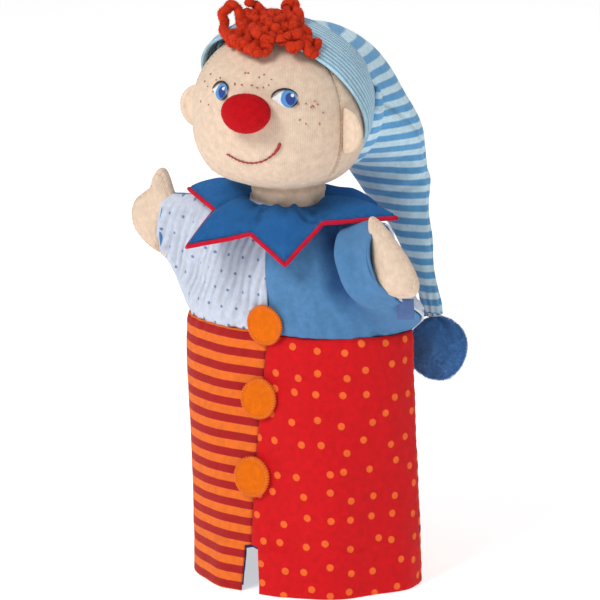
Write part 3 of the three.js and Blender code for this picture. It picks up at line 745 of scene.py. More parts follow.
def bodice_pattern(rows, columns):
    """The flat pattern of half the bodice with its sleeve, as x and z, and the distance to its sewn edges."""
    u = np.linspace(0, 1, columns)
    v = np.linspace(0, 1, rows)
    waist = lambda t: np.stack([69 * t, np.full_like(t, WAIST_Z)], axis=1)
    underarm = lambda t: bezier((69, WAIST_Z), (75, 160), (CUFF_X, 170), t)
    neckline = lambda t: bezier((0, 216), (14, 216.5), (23, 221), t)
    shoulder = lambda t: bezier((23, 221), (52, 212), (CUFF_X, 208), t)
    bottom = two_part(waist, underarm, 0.66, u)
    top = two_part(neckline, shoulder, 0.26, u)
    centre = np.stack([np.zeros(rows), WAIST_Z + v * (216 - WAIST_Z)], axis=1)
    cuff = np.stack([CUFF_X + 1.8 * np.sin(v * math.pi), 170 + v * 38], axis=1)
    uu, vv = u[None, :, None], v[:, None, None]
    corners = ((1 - uu) * (1 - vv) * bottom[0] + uu * (1 - vv) * bottom[-1] +
               (1 - uu) * vv * top[0] + uu * vv * top[-1])
    flat = (1 - vv) * bottom[None] + vv * top[None] + (1 - uu) * centre[:, None] + uu * cuff[:, None] - corners
    dense = np.linspace(0, 1, 140)
    sewn = np.concatenate([underarm(dense), shoulder(dense)])
    away = np.linalg.norm(flat[:, :, None, :] - sewn[None, None], axis=3).min(axis=2)
    return flat[:, :, 0], flat[:, :, 1], away


# The deep fold beside the left sleeve: where it starts, in the cloth's own flat plane, and how it slopes. velour_cloth
# paints a band of shadow along the same line.
FOLD_X = 45.0
FOLD_TOP = 195.0
FOLD_SLOPE = 0.36


def bodice_relief(x, z, away, front, left):
    """Folds and seams of the bodice, in millimetres outwards."""
    seam = -1.0 * np.exp(-((x / 1.7) ** 2)) - 0.7 * np.exp(-(((z - WAIST_Z) / 2.2) ** 2))
    gather = 0.35 * np.sin(TAU * x / 8.0 + 2 * left) * np.exp(-(z - WAIST_Z) / 9)
    inner = smoothstep(1, 10, away)
    seed = 40 + 2 * front + left
    if front != left:
        wave = np.sin(TAU * (x + 0.34 * (z - 180) + 2.8 * ripple(x / 60, z / 70, seed)) / 11.5)
        crinkle = 1.3 - 2.6 * np.sqrt(np.abs(wave) + 0.02)
        folds = 1.1 * crinkle * smoothstep(149, 165, z) * (0.6 + 0.4 * ripple(x / 40, z / 50, seed + 1))
        folds = folds + 0.9 * ripple(x / 30, z / 55, seed + 2)
    else:
        folds = 1.5 * ripple(x / 55, z / 60, seed) + 0.5 * ripple(x / 22, z / 30, seed + 3)
    if left and front:
        line = FOLD_X + FOLD_SLOPE * (FOLD_TOP - z)
        folds = folds - 8.5 * np.exp(-(((x - line) / 7.0) ** 2)) * smoothstep(150, 172, z)
        folds = folds + 2.6 * np.exp(-(((x - line - 15) / 7.0) ** 2)) * smoothstep(150, 172, z)
    if not left:
        line = 52 + 0.35 * (190 - z)
        folds = folds - 2.0 * np.exp(-(((x - line) / 4.5) ** 2)) * smoothstep(150, 168, z)
    return seam + gather + folds * inner


def bend_arm(points, side):
    """Carries the points of a flat, level sleeve to where the arm points; x is positive here on both sides."""
    arm = ARMS[side]
    pivot = np.array([abs(arm["pivot"][0]), arm["pivot"][1], arm["pivot"][2]], dtype=float)
    weight = smoothstep(28, 62, points[..., 0]) * smoothstep(WAIST_Z + 0.5, 166, points[..., 2])
    local = points - pivot
    lift = np.radians(arm["lift"]) * weight
    turn = np.radians(arm["forward"]) * weight
    x = local[..., 0] * np.cos(lift) - local[..., 2] * np.sin(lift)
    z = local[..., 0] * np.sin(lift) + local[..., 2] * np.cos(lift)
    y = local[..., 1]
    along = x * np.cos(turn) + y * np.sin(turn)
    across = y * np.cos(turn) - x * np.sin(turn)
    return pivot + np.stack([along, across, z], axis=-1)


def arm_direction(side):
    arm = ARMS[side]
    lift, forward = math.radians(arm["lift"]), math.radians(arm["forward"])
    return np.array([arm["sign"] * math.cos(lift) * math.cos(forward), -math.cos(lift) * math.sin(forward),
                     math.sin(lift)])


def bodice_grid(front, left):
    side = "left" if left else "right"
    x, z, away = bodice_pattern(64, 92)
    half_width, middle, half_depth = tunic_section(z)
    to_arm = smoothstep(30, 74, x) * smoothstep(WAIST_Z + 2, 172, z)
    cuff = smoothstep(58, CUFF_X, x)
    rounding = SIDE_ROUNDING + (19.0 - SIDE_ROUNDING) * to_arm
    sleeve_depth = 14.5 - (4.5 if not left else 1.0 if front else 8.5) * cuff
    sine = np.sin(np.clip(away / rounding, 0, 1) * math.pi / 2)
    profile = swell(away / rounding) if front else sine + (swell(away / rounding) - sine) * to_arm
    depth = (half_depth + (sleeve_depth - half_depth) * to_arm) * profile
    centre_y = middle + (ARMS[side]["pivot"][1] - middle) * to_arm + side_shift(x, z, left)
    points = np.stack([x * side_draw(z, left), centre_y + (-depth if front else depth), z], axis=2)
    normals = grid_normals(points) * (1 if front else -1)
    relief = bodice_relief(x, z, away, front, left)
    points = bend_arm(points + normals * relief[:, :, None], side)
    uv = np.stack([x, z], axis=2) * MM
    if not left:
        points = points * np.array([-1, 1, 1])
    return outward_order(points, front, left), outward_order(uv, front, left)


def follow_shoulder(piece):
    """Bakes the cloth's transform into its mesh; it is not attached to a body."""
    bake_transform(piece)


def make_bodice():
    for name, front, left in QUARTERS:
        side = "left" if left else "right"
        cloth = "dotted_pale_cloth" if front != left else "blue_velour"
        points, uv = bodice_grid(front, left)
        panel = sheet_piece(f"bodice_cloth_{name}", points, cloth, uv, thickness=1.1)
        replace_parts(panel, f"bodice_{name}", *([f"sleeve_{side}"] if front else []))
        follow_shoulder(panel)


# ---- buttons and label ------------------------------------------------------------------------------------
def make_buttons():
    """Felt discs with an overlocked rim, on the centre seam."""
    profile = [(0.0, 2.1), (5.5, 2.15), (8.6, 2.1), (9.3, 1.9), (9.7, 1.85), (10.2, 2.05), (10.8, 2.0), (11.2, 1.6),
               (11.3, 0.9), (11.1, 0.1), (0.0, 0.0)]
    sides = 72
    for name, z in zip(("button_top", "button_middle", "button_bottom"), BUTTON_HEIGHTS):
        low_corner, high_corner = (np.array(c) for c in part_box(name))
        centre = ((low_corner + high_corner) / 2 - ORIGIN) / MM
        _, middle_up, depth_up = tunic_section(z + BUTTON_RADIUS)
        _, middle_down, depth_down = tunic_section(z - BUTTON_RADIUS)
        rise = np.array([0, (middle_up - depth_up) - (middle_down - depth_down), 2 * BUTTON_RADIUS])
        up = rise / np.linalg.norm(rise)
        out = np.cross(up, (-1, 0, 0))
        out = out if out[1] < 0 else -out
        right = np.cross(up, out)
        centre = centre - out * 1.6
        angles = np.arange(sides) * TAU / sides
        wobble = 1 + 0.012 * np.sin(3 * angles + z) + 0.008 * np.sin(5 * angles)
        points, faces = [], []
        for radius, height in profile:
            ring = (np.cos(angles) * wobble * radius)[:, None] * right + (np.sin(angles) * wobble * radius)[:, None] * up
            points.append(centre + ring + out * height)
        points = np.concatenate(points)
        for row in range(len(profile) - 1):
            for k in range(sides):
                a, b = row * sides + k, row * sides + (k + 1) % sides
                faces.append((a, a + sides, b + sides, b))
        disc = make_mesh(f"felt_{name}", points, faces, "felt")
        weld_object(disc)
        ride(disc, "tunic", [name])
        stitches = []
        for k in range(46):
            angle = k * TAU / 46
            ray = math.cos(angle) * right + math.sin(angle) * up
            slant = math.cos(angle + 0.05) * right + math.sin(angle + 0.05) * up
            stitches.append([centre + ray * 9.4 + out * 1.8, centre + ray * 10.3 + out * 2.2,
                             centre + slant * 11.3 + out * 1.7, centre + slant * 11.75 + out * 0.9])
        edging = tubes(f"{name}_stitches", stitches, [0.26] * len(stitches), "thread_orange", 6)
        ride(edging, "tunic")


def weld_object(piece, distance=1e-6):
    """Joins vertices that coincide, such as the rings of no radius in the middle of a disc."""
    bm = bmesh.new()
    bm.from_mesh(piece.data)
    bmesh.ops.remove_doubles(bm, verts=bm.verts, dist=distance)
    bmesh.ops.recalc_face_normals(bm, faces=bm.faces)
    bm.to_mesh(piece.data)
    bm.free()
    piece.data.shade_smooth()


def make_label():
    """A folded ribbon loop, sewn on beside the left side seam, with nothing on it."""
    panel, _ = bodice_grid(True, True)
    corner = panel[3, int(0.82 * (panel.shape[1] - 1))]
    side = np.array(direction_to(FRINGE_TURN + 90, 0))
    out = np.array(direction_to(FRINGE_TURN, 0))
    t = np.linspace(0, 1, 26)[None, :, None]
    down = np.linspace(0, 1, 10)[:, None, None]
    reach = np.sin(t * math.pi) ** 0.55 * LABEL_REACH
    leaf = 0.6 * np.cos(t * math.pi) + 0.2 * np.sin(down * 5) + 2.2 + 4.3 * down
    up = np.array([-0.05, 0.0, 1.0])
    points = corner + side * (reach - 1.0) + out * leaf + up * (LABEL_HEIGHT * down - 4.5)
    label = sheet_piece("label_ribbon", points, "ribbon", thickness=0.35)
    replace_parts(label, "side_label")
    follow_shoulder(label)


# ---- collar -----------------------------------------------------------------------------------------------
COLLAR_TOP = 222.6
COLLAR_INNER = 22.0
COLLAR_TIPS = [(46, 27), (70, 3), (58, 13), (56, 13), (66, 4), (63, 21)]
COLLAR_VALLEYS = [(39, 13), (41, 6), (41, 5), (41, 11), (41, 5), (41, 8)]


def collar_edge(angles):
    """Distance from the neck's axis and drop of the collar's edge, at angles from the front towards the left."""
    corners = []
    for valley, tip in zip(COLLAR_VALLEYS, COLLAR_TIPS):
        corners += [valley, tip]
    corners.append(COLLAR_VALLEYS[0])
    corner_angles = np.arange(13) * math.pi / 6
    radius = np.array([c[0] for c in corners], dtype=float)
    x, y = radius * np.sin(corner_angles), -radius * np.cos(corner_angles)
    step = (angles % TAU) / (math.pi / 6)
    index = np.minimum(step.astype(int), 11)
    share = step - index
    local = index * math.pi / 6
    ax, ay, bx, by = x[index], y[index], x[index + 1], y[index + 1]
    wanted = local + share * math.pi / 6
    # The straight edge between two corners, met by the ray at the wanted angle.
    ray_x, ray_y = np.sin(wanted), -np.cos(wanted)
    edge_x, edge_y = bx - ax, by - ay
    cross = ray_x * edge_y - ray_y * edge_x
    reach = (ax * edge_y - ay * edge_x) / cross
    along = np.hypot(ray_x * reach - ax, ray_y * reach - ay) / np.hypot(edge_x, edge_y)
    drops = np.array([c[1] for c in corners], dtype=float)
    return reach, drops[index] + (drops[index + 1] - drops[index]) * along


def collar_point(angle, share, reach, drop):
    radius = COLLAR_INNER + (reach - COLLAR_INNER) * share
    crinkle = 1.3 * np.sin(9 * angle + 1.0) + 1.5 * np.sin(17 * angle + 2.5) + 0.8 * np.sin(5 * angle)
    across = np.sin(np.pi * np.clip(share, 0, 1))
    from_valley = (angle + math.pi / 6) % (math.pi / 3) - math.pi / 6
    ridge = -2.6 * np.cos(6 * angle) * across ** 1.2 - 2.4 * np.exp(-((from_valley / 0.10) ** 2)) * across ** 0.7
    dents = 1.0 * ripple(angle / TAU * 6, share * 1.5, 71) * across - 1.3 * np.exp(
        -(((angle - 0.55 - 0.5 * share) / 0.07) ** 2)) * across
    lift = crinkle * np.exp(-share / 0.36) * smoothstep(0, 0.14, share) + ridge + dents
    lift = lift + 1.1 * np.sin(4 * angle + 1.9) * share * (1 - share) * 3
    puff = 2.6 * np.sqrt(np.clip(1 - share, 0, 1)) * np.clip(share, 0, 1) * 2
    fall = drop * share ** 1.7
    z = COLLAR_TOP - 1.2 - fall + lift + puff - 1.6 * np.exp(-share / 0.07)
    return np.stack(np.broadcast_arrays(NECK_AXIS[0] + radius * np.sin(angle), NECK_AXIS[1] - radius * np.cos(angle), z),
                    axis=-1)


def make_collar():
    corner_share = np.linspace(0, 1, 22)
    angles = (np.arange(12)[:, None] + corner_share[None, :-1]).ravel() * math.pi / 6
    reach, drop = collar_edge(angles)
    share = np.linspace(1, 0, 26)[:, None]
    points = collar_point(angles[None, :], share, reach[None, :], drop[None, :])
    collar = sheet_piece("collar_plush", points, "blue_plush", thickness=1.5, wrap=True)
    ride(collar, "tunic", ["collar", "collar_lining"])
    edge = collar_point(angles, np.ones_like(angles) * 1.012, reach, drop) - np.array([0, 0, 0.75])
    piping = tubes("collar_piping_cord", [edge], [1.25], "red_piping", 10, closed=True)
    ride(piping, "tunic", ["collar_piping"])
    stitches = []
    for k in range(0, len(angles), 3):
        start, end = collar_point(angles[k:k + 2], np.array([0.965, 0.965]), reach[k:k + 2], drop[k:k + 2])
        stitches.append([start + (0, 0, 0.05), (start + end) / 2 + (0, 0, 0.22), end + (0, 0, 0.05)])
    seam = tubes("collar_stitches", stitches, [0.17] * len(stitches), "blue_plush", 5)
    ride(seam, "tunic")


def make_neck_ruffle():
    """The bodice's neck edge, which shows as a thin crumpled frill between the collar and the neck."""
    angles = np.linspace(0, TAU, 120, endpoint=False)[None, :]
    rise = np.linspace(0, 1, 7)[:, None]
    wave = 0.55 * np.sin(15 * angles + 2 * np.sin(3 * angles))
    radius = NECK_COVER_RADIUS + 0.7 + 0.3 * wave + 0.3 * rise * (1 + 0.5 * np.sin(7 * angles))
    z = 211.0 + rise * (9.6 - 1.3 * np.sin(angles - 0.2) + 0.25 * wave)
    points = np.stack(np.broadcast_arrays(radius * np.sin(angles), NECK_AXIS[1] - radius * np.cos(angles), z), axis=2)
    frill = sheet_piece("neck_frill", points, "dotted_pale_cloth", thickness=0.4, wrap=True)
    ride(frill, "tunic")


# ---- head -------------------------------------------------------------------------------------------------
def head_to_puppet(points):
    turn = math.radians(HEAD_TURN)
    c, s = math.cos(turn), math.sin(turn)
    points = np.asarray(points, dtype=float)
    x = points[..., 0] * c - points[..., 1] * s
    y = points[..., 0] * s + points[..., 1] * c
    return np.stack([x, y, points[..., 2]], axis=-1) + np.array(HEAD_CENTER)


def head_shape(azimuth, elevation, proud=0.0):
    """A point of the head's own frame: a ball with fuller cheeks and a flatter underside."""
    a, e = np.radians(azimuth), np.radians(elevation)
    above = smoothstep(4, 50, elevation)
    turned = (np.degrees(a) + 180) % 360 - 180
    cheeks = 0.8 * np.exp(-((np.abs(turned) - 50) / 40) ** 2) * np.exp(-((elevation + 25) / 22) ** 2)
    radius = HEAD_RADIUS - 1.0 + cheeks - 2.6 * above + proud
    height = HEAD_HALF_HEIGHT - 2.6 * above + proud
    # The lower half is squarer than a ball.
    square = np.maximum(1 - np.abs(np.sin(e)) ** CHIN_POWER, 0) ** (1 / CHIN_POWER)
    level = np.where(e < 0, square, np.cos(e))
    x = radius * level * np.sin(a)
    y = -radius * level * np.cos(a)
    return np.stack(np.broadcast_arrays(x, y, height * np.sin(e)), axis=-1)


def toward_neck(points, elevation):
    """Draws the lowest rows of the head in to the neck, whose axis isn't under the head's middle."""
    turn = math.radians(-HEAD_TURN)
    offset = np.array([NECK_AXIS[0] - HEAD_CENTER[0], NECK_AXIS[1] - HEAD_CENTER[1]])
    axis = np.array([offset[0] * math.cos(turn) - offset[1] * math.sin(turn),
                     offset[0] * math.sin(turn) + offset[1] * math.cos(turn)])
    way = points[..., :2] - axis
    way = way / np.maximum(np.linalg.norm(way, axis=-1, keepdims=True), 1e-9)
    ring = np.concatenate([axis + way * 18.6, np.full(points.shape[:-1] + (1,), -46.5)], axis=-1)
    share = smoothstep(-50, -68, elevation)[..., None] if np.ndim(elevation) else smoothstep(-50, -68, elevation)
    return points + (ring - points) * share


def head_panel(name, start, end, columns, seam_depth):
    """A jersey panel between two azimuths, drawn in along its seams."""
    azimuth = np.linspace(start, end, columns)[None, :]
    elevation = np.linspace(-68, 88, 96)[:, None]
    azimuth, elevation = np.broadcast_arrays(azimuth, elevation)
    to_seam = np.minimum(azimuth - start, end - azimuth) * np.cos(np.radians(elevation)) * math.pi / 180 * HEAD_RADIUS
    relief = -seam_depth * np.exp(-((to_seam / 1.5) ** 2))
    relief = relief + 0.25 * np.sin(TAU * elevation / 6.5) * np.exp(-to_seam / 4)
    relief = relief + 0.35 * ripple(azimuth / 70, elevation / 60, 71)
    relief = relief + 0.5 * np.sin(np.radians(azimuth) * 18) * smoothstep(-46, -62, elevation)
    points = toward_neck(head_shape(azimuth, elevation, relief), elevation)
    u = np.radians(azimuth) * HEAD_RADIUS * np.cos(np.radians(elevation) * 0.55)
    uv = np.stack([u, np.radians(elevation) * HEAD_HALF_HEIGHT], axis=2) * MM
    points = head_to_puppet(points)
    panel = sheet_piece(name, points, "jersey", uv, thickness=1.2)
    ride(panel, "head")
    return panel


def make_head_cover():
    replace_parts(head_panel("face_jersey", -SIDE_SEAM, SIDE_SEAM, 110, 0.9), "face_panel")
    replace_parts(head_panel("head_back_jersey", SIDE_SEAM, 360 - SIDE_SEAM, 150, 0.9), "head_back_panel")


def make_neck():
    """The short jersey neck under the head, creased where the head meets it."""
    angles = np.linspace(0, TAU, 96, endpoint=False)[None, :]
    z = np.linspace(208, 236, 40)[:, None]
    crease = -1.6 * np.exp(-(((z - 229.5) / 1.6) ** 2)) + 0.5 * np.exp(-(((z - 226) / 2.2) ** 2))
    folds = 0.45 * np.sin(11 * angles + 0.12 * z) * smoothstep(236, 222, z) + 0.3 * np.sin(7 * angles - 0.2 * z)
    radius = NECK_COVER_RADIUS - 0.1 + crease + folds * 0.7
    points = np.stack(np.broadcast_arrays(NECK_AXIS[0] + radius * np.sin(angles), NECK_AXIS[1] - radius * np.cos(angles),
                                          z), axis=2)
    neck = sheet_piece("neck_jersey", points, "jersey", thickness=1.0, wrap=True)
    ride(neck, "neck", ["neck_cover"])


def make_fillings():
    """The finger tube's padding and the head's stuffing, which show only through openings."""
    angles = np.linspace(0, TAU, 60, endpoint=False)[None, :]
    for name, node, body, low_z, high_z, inner, outer in (
            ("neck_fibre", "neck_padding", "neck", 206, 236, 12.9, 16.2),):
        t = np.linspace(0, 1, 44)[:, None]
        wide = np.where(t < 0.5, inner, outer)
        z = low_z + (high_z - low_z) * np.where(t < 0.5, 1 - 2 * t, 2 * t - 1)
        radius = wide + 0.25 * np.sin(7 * angles + z / 3) * np.sign(t - 0.5)
        points = np.stack(np.broadcast_arrays(NECK_AXIS[0] + radius * np.sin(angles),
                                              NECK_AXIS[1] - radius * np.cos(angles), z), axis=2)
        filling = make_mesh(name, points.reshape(-1, 3), grid_faces(44, 60, True) + ring_caps(44, 60), "stuffing")
        ride(filling, body, [node])
    azimuth = np.linspace(0, 360, 72, endpoint=False)[None, :]
    elevation = np.linspace(-66, 86, 50)[:, None]
    lumps = 0.6 * ripple(azimuth / 60, elevation / 50, 90) - 4.2
    points = head_to_puppet(head_shape(azimuth, elevation, lumps))
    filling = make_mesh("head_fibre", points.reshape(-1, 3), grid_faces(50, 72, True) + end_caps(50, 72), "stuffing")
    ride(filling, "head", ["head_stuffing"])


def end_caps(rows, columns):
    return [tuple(reversed(range(columns))), tuple((rows - 1) * columns + k for k in range(columns))]


def ring_caps(rows, columns):
    """Closes a tube that turns back on itself: its first row is joined to its last."""
    last = (rows - 1) * columns
    return [(last + k, last + (k + 1) % columns, (k + 1) % columns, k) for k in range(columns)]


# ---- face -------------------------------------------------------------------------------------------------
def on_head(azimuth, elevation, proud=0.0):
    return head_to_puppet(head_shape(np.asarray(azimuth, float), np.asarray(elevation, float), proud))


def face_frame(azimuth, elevation):
    """A point of the face with unit vectors to the puppet's left, up and out."""
    centre = on_head(azimuth, elevation)
    right = on_head(azimuth + 0.5, elevation) - on_head(azimuth - 0.5, elevation)
    up = on_head(azimuth, elevation + 0.5) - on_head(azimuth, elevation - 0.5)
    right, up = right / np.linalg.norm(right), up / np.linalg.norm(up)
    return centre, right, up, np.cross(right, up)


def face_point(azimuth, elevation, x, y, proud):
    """Millimetres along the face from a place on it, laid on the rounded head."""
    a = azimuth + np.degrees(x / (HEAD_RADIUS * np.cos(np.radians(elevation))))
    e = elevation + np.degrees(y / HEAD_HALF_HEIGHT)
    return on_head(a, e, proud)


def satin_patch(name, azimuth, elevation, outline, height, material_name, slant=0.0, pitch=0.34):
    """A satin-stitched patch: threads side by side that fill an outline of (x, y) millimetres."""
    outline = np.asarray(outline, dtype=float)
    c, s = math.cos(math.radians(slant)), math.sin(math.radians(slant))
    turned = outline @ np.array([[c, -s], [s, c]])
    edges = list(zip(turned, np.roll(turned, -1, 0)))
    paths, radii = [], []
    for x in np.arange(turned[:, 0].min() + pitch / 2, turned[:, 0].max(), pitch):
        hits = [a[1] + (b[1] - a[1]) * (x - a[0]) / (b[0] - a[0])
                for a, b in edges if (a[0] - x) * (b[0] - x) < 0]
        if len(hits) < 2:
            continue
        y = np.linspace(min(hits), max(hits), 9)
        flat = np.stack([np.full(9, x), y], axis=1) @ np.array([[c, s], [-s, c]])
        swell_out = 0.55 * np.sin(np.linspace(0, math.pi, 9)) ** 0.6
        paths.append(face_point(azimuth, elevation, flat[:, 0], flat[:, 1], height + swell_out))
        radii.append(np.full(9, pitch * 0.62))
    patch = tubes(name, paths, radii, material_name, 6)
    ride(patch, "head")


def oval(x, y, half_width, half_height, count=40, point_left=0.0):
    """An oval outline; point_left draws its left end out to a corner."""
    t = np.arange(count) * TAU / count
    ox = half_width * np.cos(t)
    oy = half_height * np.sin(t) * (1 - point_left * smoothstep(0.1, -1.0, np.cos(t)) * 0.75)
    return np.stack([x + ox, y + oy], axis=1)


def lid_line(name, azimuth, elevation, corner_x, corner_y, half_width, half_height, start, end, radius):
    t = np.radians(np.linspace(start, end, 30))
    paths, radii = [], []
    for shift in (-0.25, 0.2):
        x = corner_x + (half_width + 0.5 + shift) * np.cos(t)
        y = corner_y + (half_height + 0.4 + shift) * np.sin(t)
        paths.append(face_point(azimuth, elevation, x, y, 0.7))
        radii.append(radius * np.sin(np.linspace(0.25, math.pi - 0.25, 30)))
    line = tubes(name, paths, radii, "thread_lid", 6)
    ride(line, "head")


def make_eyes():
    """Both eyes look to the puppet's left: white, iris, pupil and a small light, in satin stitch."""
    eyes = {
        "left": dict(azimuth=25.0, elevation=15.5, white=(0, 0, 6.9, 4.9), iris=(2.3, 0.1, 4.5, 4.8),
                     pupil=(3.1, -0.2, 2.7, 3.4), light=(4.3, 1.6)),
        "right": dict(azimuth=-23.5, elevation=17.0, white=(0, 0, 5.6, 4.9), iris=(1.5, 0.1, 4.0, 4.8),
                      pupil=(2.3, -0.2, 2.4, 3.3), light=(3.4, 1.6)),
    }
    for side, eye in eyes.items():
        place = (eye["azimuth"], eye["elevation"])
        white, iris, pupil = eye["white"], eye["iris"], eye["pupil"]
        satin_patch(f"eye_{side}_white", *place, oval(*white, point_left=0.8), 0.1, "thread_white", 0)
        satin_patch(f"eye_{side}_iris", *place, oval(*iris), 0.5, "thread_iris", 20)
        satin_patch(f"eye_{side}_pupil", *place, oval(*pupil), 0.85, "thread_pupil", -15)
        satin_patch(f"eye_{side}_light", *place, oval(*eye["light"], 0.95, 0.95, 16), 1.3, "thread_white", 0, 0.3)
        lid_line(f"eye_{side}_lid", *place, *white, 15, 178, 0.42)
        lid_line(f"eye_{side}_lash", *place, *white, -10, -62, 0.3)
    for side in ("left", "right"):
        first = next(o for o in bpy.data.objects if o.name == f"eye_{side}_white")
        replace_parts(first, f"eye_{side}")


def make_smile():
    """A stem-stitched smile that rises to the puppet's left and thickens towards that end."""
    corners = np.array([(-16, -25.5), (-10, -28.3), (-2, -30.6), (8, -29.6), (17, -23.2), (22.5, -13.0)], dtype=float)
    run = np.linspace(0, 1, len(corners))
    t = np.linspace(0, 1, 90)
    smooth = np.polynomial.polynomial.polyfit(run, corners, 4)
    line = np.polynomial.polynomial.polyval(t, smooth).T
    paths, radii = [], []
    for k in range(0, 84, 3):
        piece = line[k:k + 6]
        if len(piece) < 6:
            break
        lift = 0.25 + 0.35 * np.sin(np.linspace(0.1, math.pi - 0.1, 6))
        spread = (0.35 if (k // 3) % 2 else -0.1) + np.linspace(-0.25, 0.25, 6)
        paths.append(on_head(piece[:, 0], piece[:, 1] + spread, lift))
        radii.append((0.42 + 0.62 * smoothstep(64, 78, k)) * np.sin(np.linspace(0.5, math.pi - 0.5, 6)))
    smile = tubes("smile_stitches", paths, radii, "thread_smile", 6)
    ride(smile, "head", ["smile"])


def make_freckles():
    draw = random.Random(5)
    groups = [(2, 27, 15, 6, 11), (-36, 16, 9, 11, 8), (42, 4, 9, 9, 11)]
    paths, radii = [], []
    for azimuth, elevation, spread_a, spread_e, count in groups:
        for _ in range(count):
            a = azimuth + draw.uniform(-spread_a, spread_a)
            e = elevation + draw.uniform(-spread_e, spread_e)
            turn = draw.uniform(0, TAU)
            length = draw.uniform(0.4, 0.7)
            t = np.linspace(-length, length, 5)
            lift = 0.15 + 0.22 * (1 - (t / length) ** 2)
            paths.append(face_point(a, e, t * math.cos(turn), t * math.sin(turn), lift))
            radii.append(0.40 * np.sin(np.linspace(0.6, math.pi - 0.6, 5)))
    freckles = tubes("freckle_stitches", paths, radii, "thread_freckle", 6)
    ride(freckles, "head")


def make_seam_stitches():
    """Small hand stitches that close the head along both side seams."""
    paths, radii = [], []
    for side in (-1, 1):
        for elevation in np.arange(-44, 60, 3.2):
            x = np.linspace(-1.1, 1.1, 5)
            lift = -0.35 + 0.45 * np.sin(np.linspace(0.1, math.pi - 0.1, 5))
            paths.append(face_point(side * SIDE_SEAM, elevation, x, 0.25 * x, lift))
            radii.append(np.full(5, 0.16))
    seams = tubes("head_seam_stitches", paths, radii, "thread_seam", 5)
    ride(seams, "head")


def make_nose():
    """A stuffed plush ball, gathered at the back where it is sewn on, with a short nap."""
    centre, right, up, out = face_frame(1.5, 5.5)
    rows, columns = 44, 64
    t = np.linspace(0.03, math.pi - 0.03, rows)[:, None]
    s = np.arange(columns)[None, :] * TAU / columns
    lump = 1 + (0.022 * np.sin(2 * s + 1) + 0.016 * np.cos(3 * s - t)) * np.sin(t) ** 2
    x = 13.9 * np.sin(t) * np.cos(s) * lump
    y = 11.2 * np.sin(t) * np.sin(s) * lump
    z = 5.0 + 9.0 * np.cos(t)
    points = centre + x[..., None] * right + y[..., None] * up + z[..., None] * out
    faces = grid_faces(rows, columns, True) + end_caps(rows, columns)
    nose = make_mesh("nose_ball", points.reshape(-1, 3), faces, "red_plush")
    weld_object(nose)
    ride(nose, "head", ["nose"])
    add_nap("nose_nap", [nose], 7000, 0.55, 0.07, "red_plush", "head", 4)


def add_nap(name, pieces, count, length, width, material_name, body, seed, lean=0.45, keep=None):
    """Scatters fibres over finished meshes, more of them on larger faces."""
    draw = np.random.default_rng(seed)
    roots, normals = [], []
    for piece in pieces:
        mesh = piece.data
        total = np.array([polygon.area for polygon in mesh.polygons])
        chosen = draw.choice(len(total), size=count, p=total / total.sum())
        corners = [[mesh.vertices[v].co for v in mesh.polygons[k].vertices] for k in range(len(mesh.polygons))]
        face_normals = [np.array(polygon.normal) for polygon in mesh.polygons]
        for k in chosen:
            weights = draw.dirichlet(np.ones(len(corners[k])))
            roots.append(sum(w * np.array(c) for w, c in zip(weights, corners[k])))
            normals.append(face_normals[k])
    roots = (np.array(roots) - ORIGIN) / MM
    normals = np.array(normals)
    if keep is not None:
        mask = keep(roots, normals)
        roots, normals = roots[mask], normals[mask]
    coat = fibres(name, roots - normals * 0.1, normals, length, width, material_name, seed, lean)
    ride(coat, body)
    return coat


def make_ears():
    """Two-layer jersey ears, half ovals that stand out and are pulled in at the root."""
    for side in (-1, 1):
        azimuth, elevation = (68.0, -10.0) if side > 0 else (-92.0, -8.0)
        centre, right, up, out = face_frame(azimuth, elevation)
        forward = -side * right
        rows, columns = 30, 40
        v = np.linspace(0.02, math.pi - 0.02, rows)[:, None]
        s = np.arange(columns)[None, :] * TAU / columns
        tall = 12.8 * np.cos(v)
        reach = np.sin(v) * 13.4
        wide = 0.5 + 0.5 * np.cos(s)
        lift = -3.0 + reach * wide + 2.6
        thick = 3.3 * np.sin(s) * np.sin(v) ** 0.7 * (1 - 0.45 * wide)
        dish = 1.5 * np.exp(-(((wide - 0.55) / 0.22) ** 2)) * np.sin(v) * (np.sin(s) > 0)
        groove = 1.2 * np.exp(-(((wide - 0.16) / 0.10) ** 2)) * np.sin(s)
        front = thick - dish - groove * 0.6
        points = centre + tall[..., None] * up + lift[..., None] * out + \
            np.broadcast_to(front, (rows, columns))[..., None] * forward
        name = "left" if side > 0 else "right"
        ear = make_mesh(f"ear_{name}_cover", np.broadcast_to(points, (rows, columns, 3)).reshape(-1, 3),
                        grid_faces(rows, columns, True) + end_caps(rows, columns), "jersey",
                        np.stack(np.broadcast_arrays(thick, tall + 0 * s), axis=2).reshape(-1, 2) * MM)
        weld_object(ear)
        ride(ear, "head", [f"ear_{name}"])
        t = np.linspace(0.12, math.pi - 0.12, 40)
        stitches, radii = [], []
        for k in range(0, 38, 2):
            a, b = t[k], t[k] + 0.06
            pts = []
            for value in (a, (a + b) / 2, b):
                reach_out = -3.0 + 13.4 * math.sin(value) + 2.7
                pts.append(centre + up * 12.8 * math.cos(value) * 0.985 + out * reach_out)
            stitches.append(np.array(pts))
            radii.append(0.17)
        edge = tubes(f"ear_{name}_stitches", stitches, radii, "thread_seam", 5)
        ride(edge, "head")


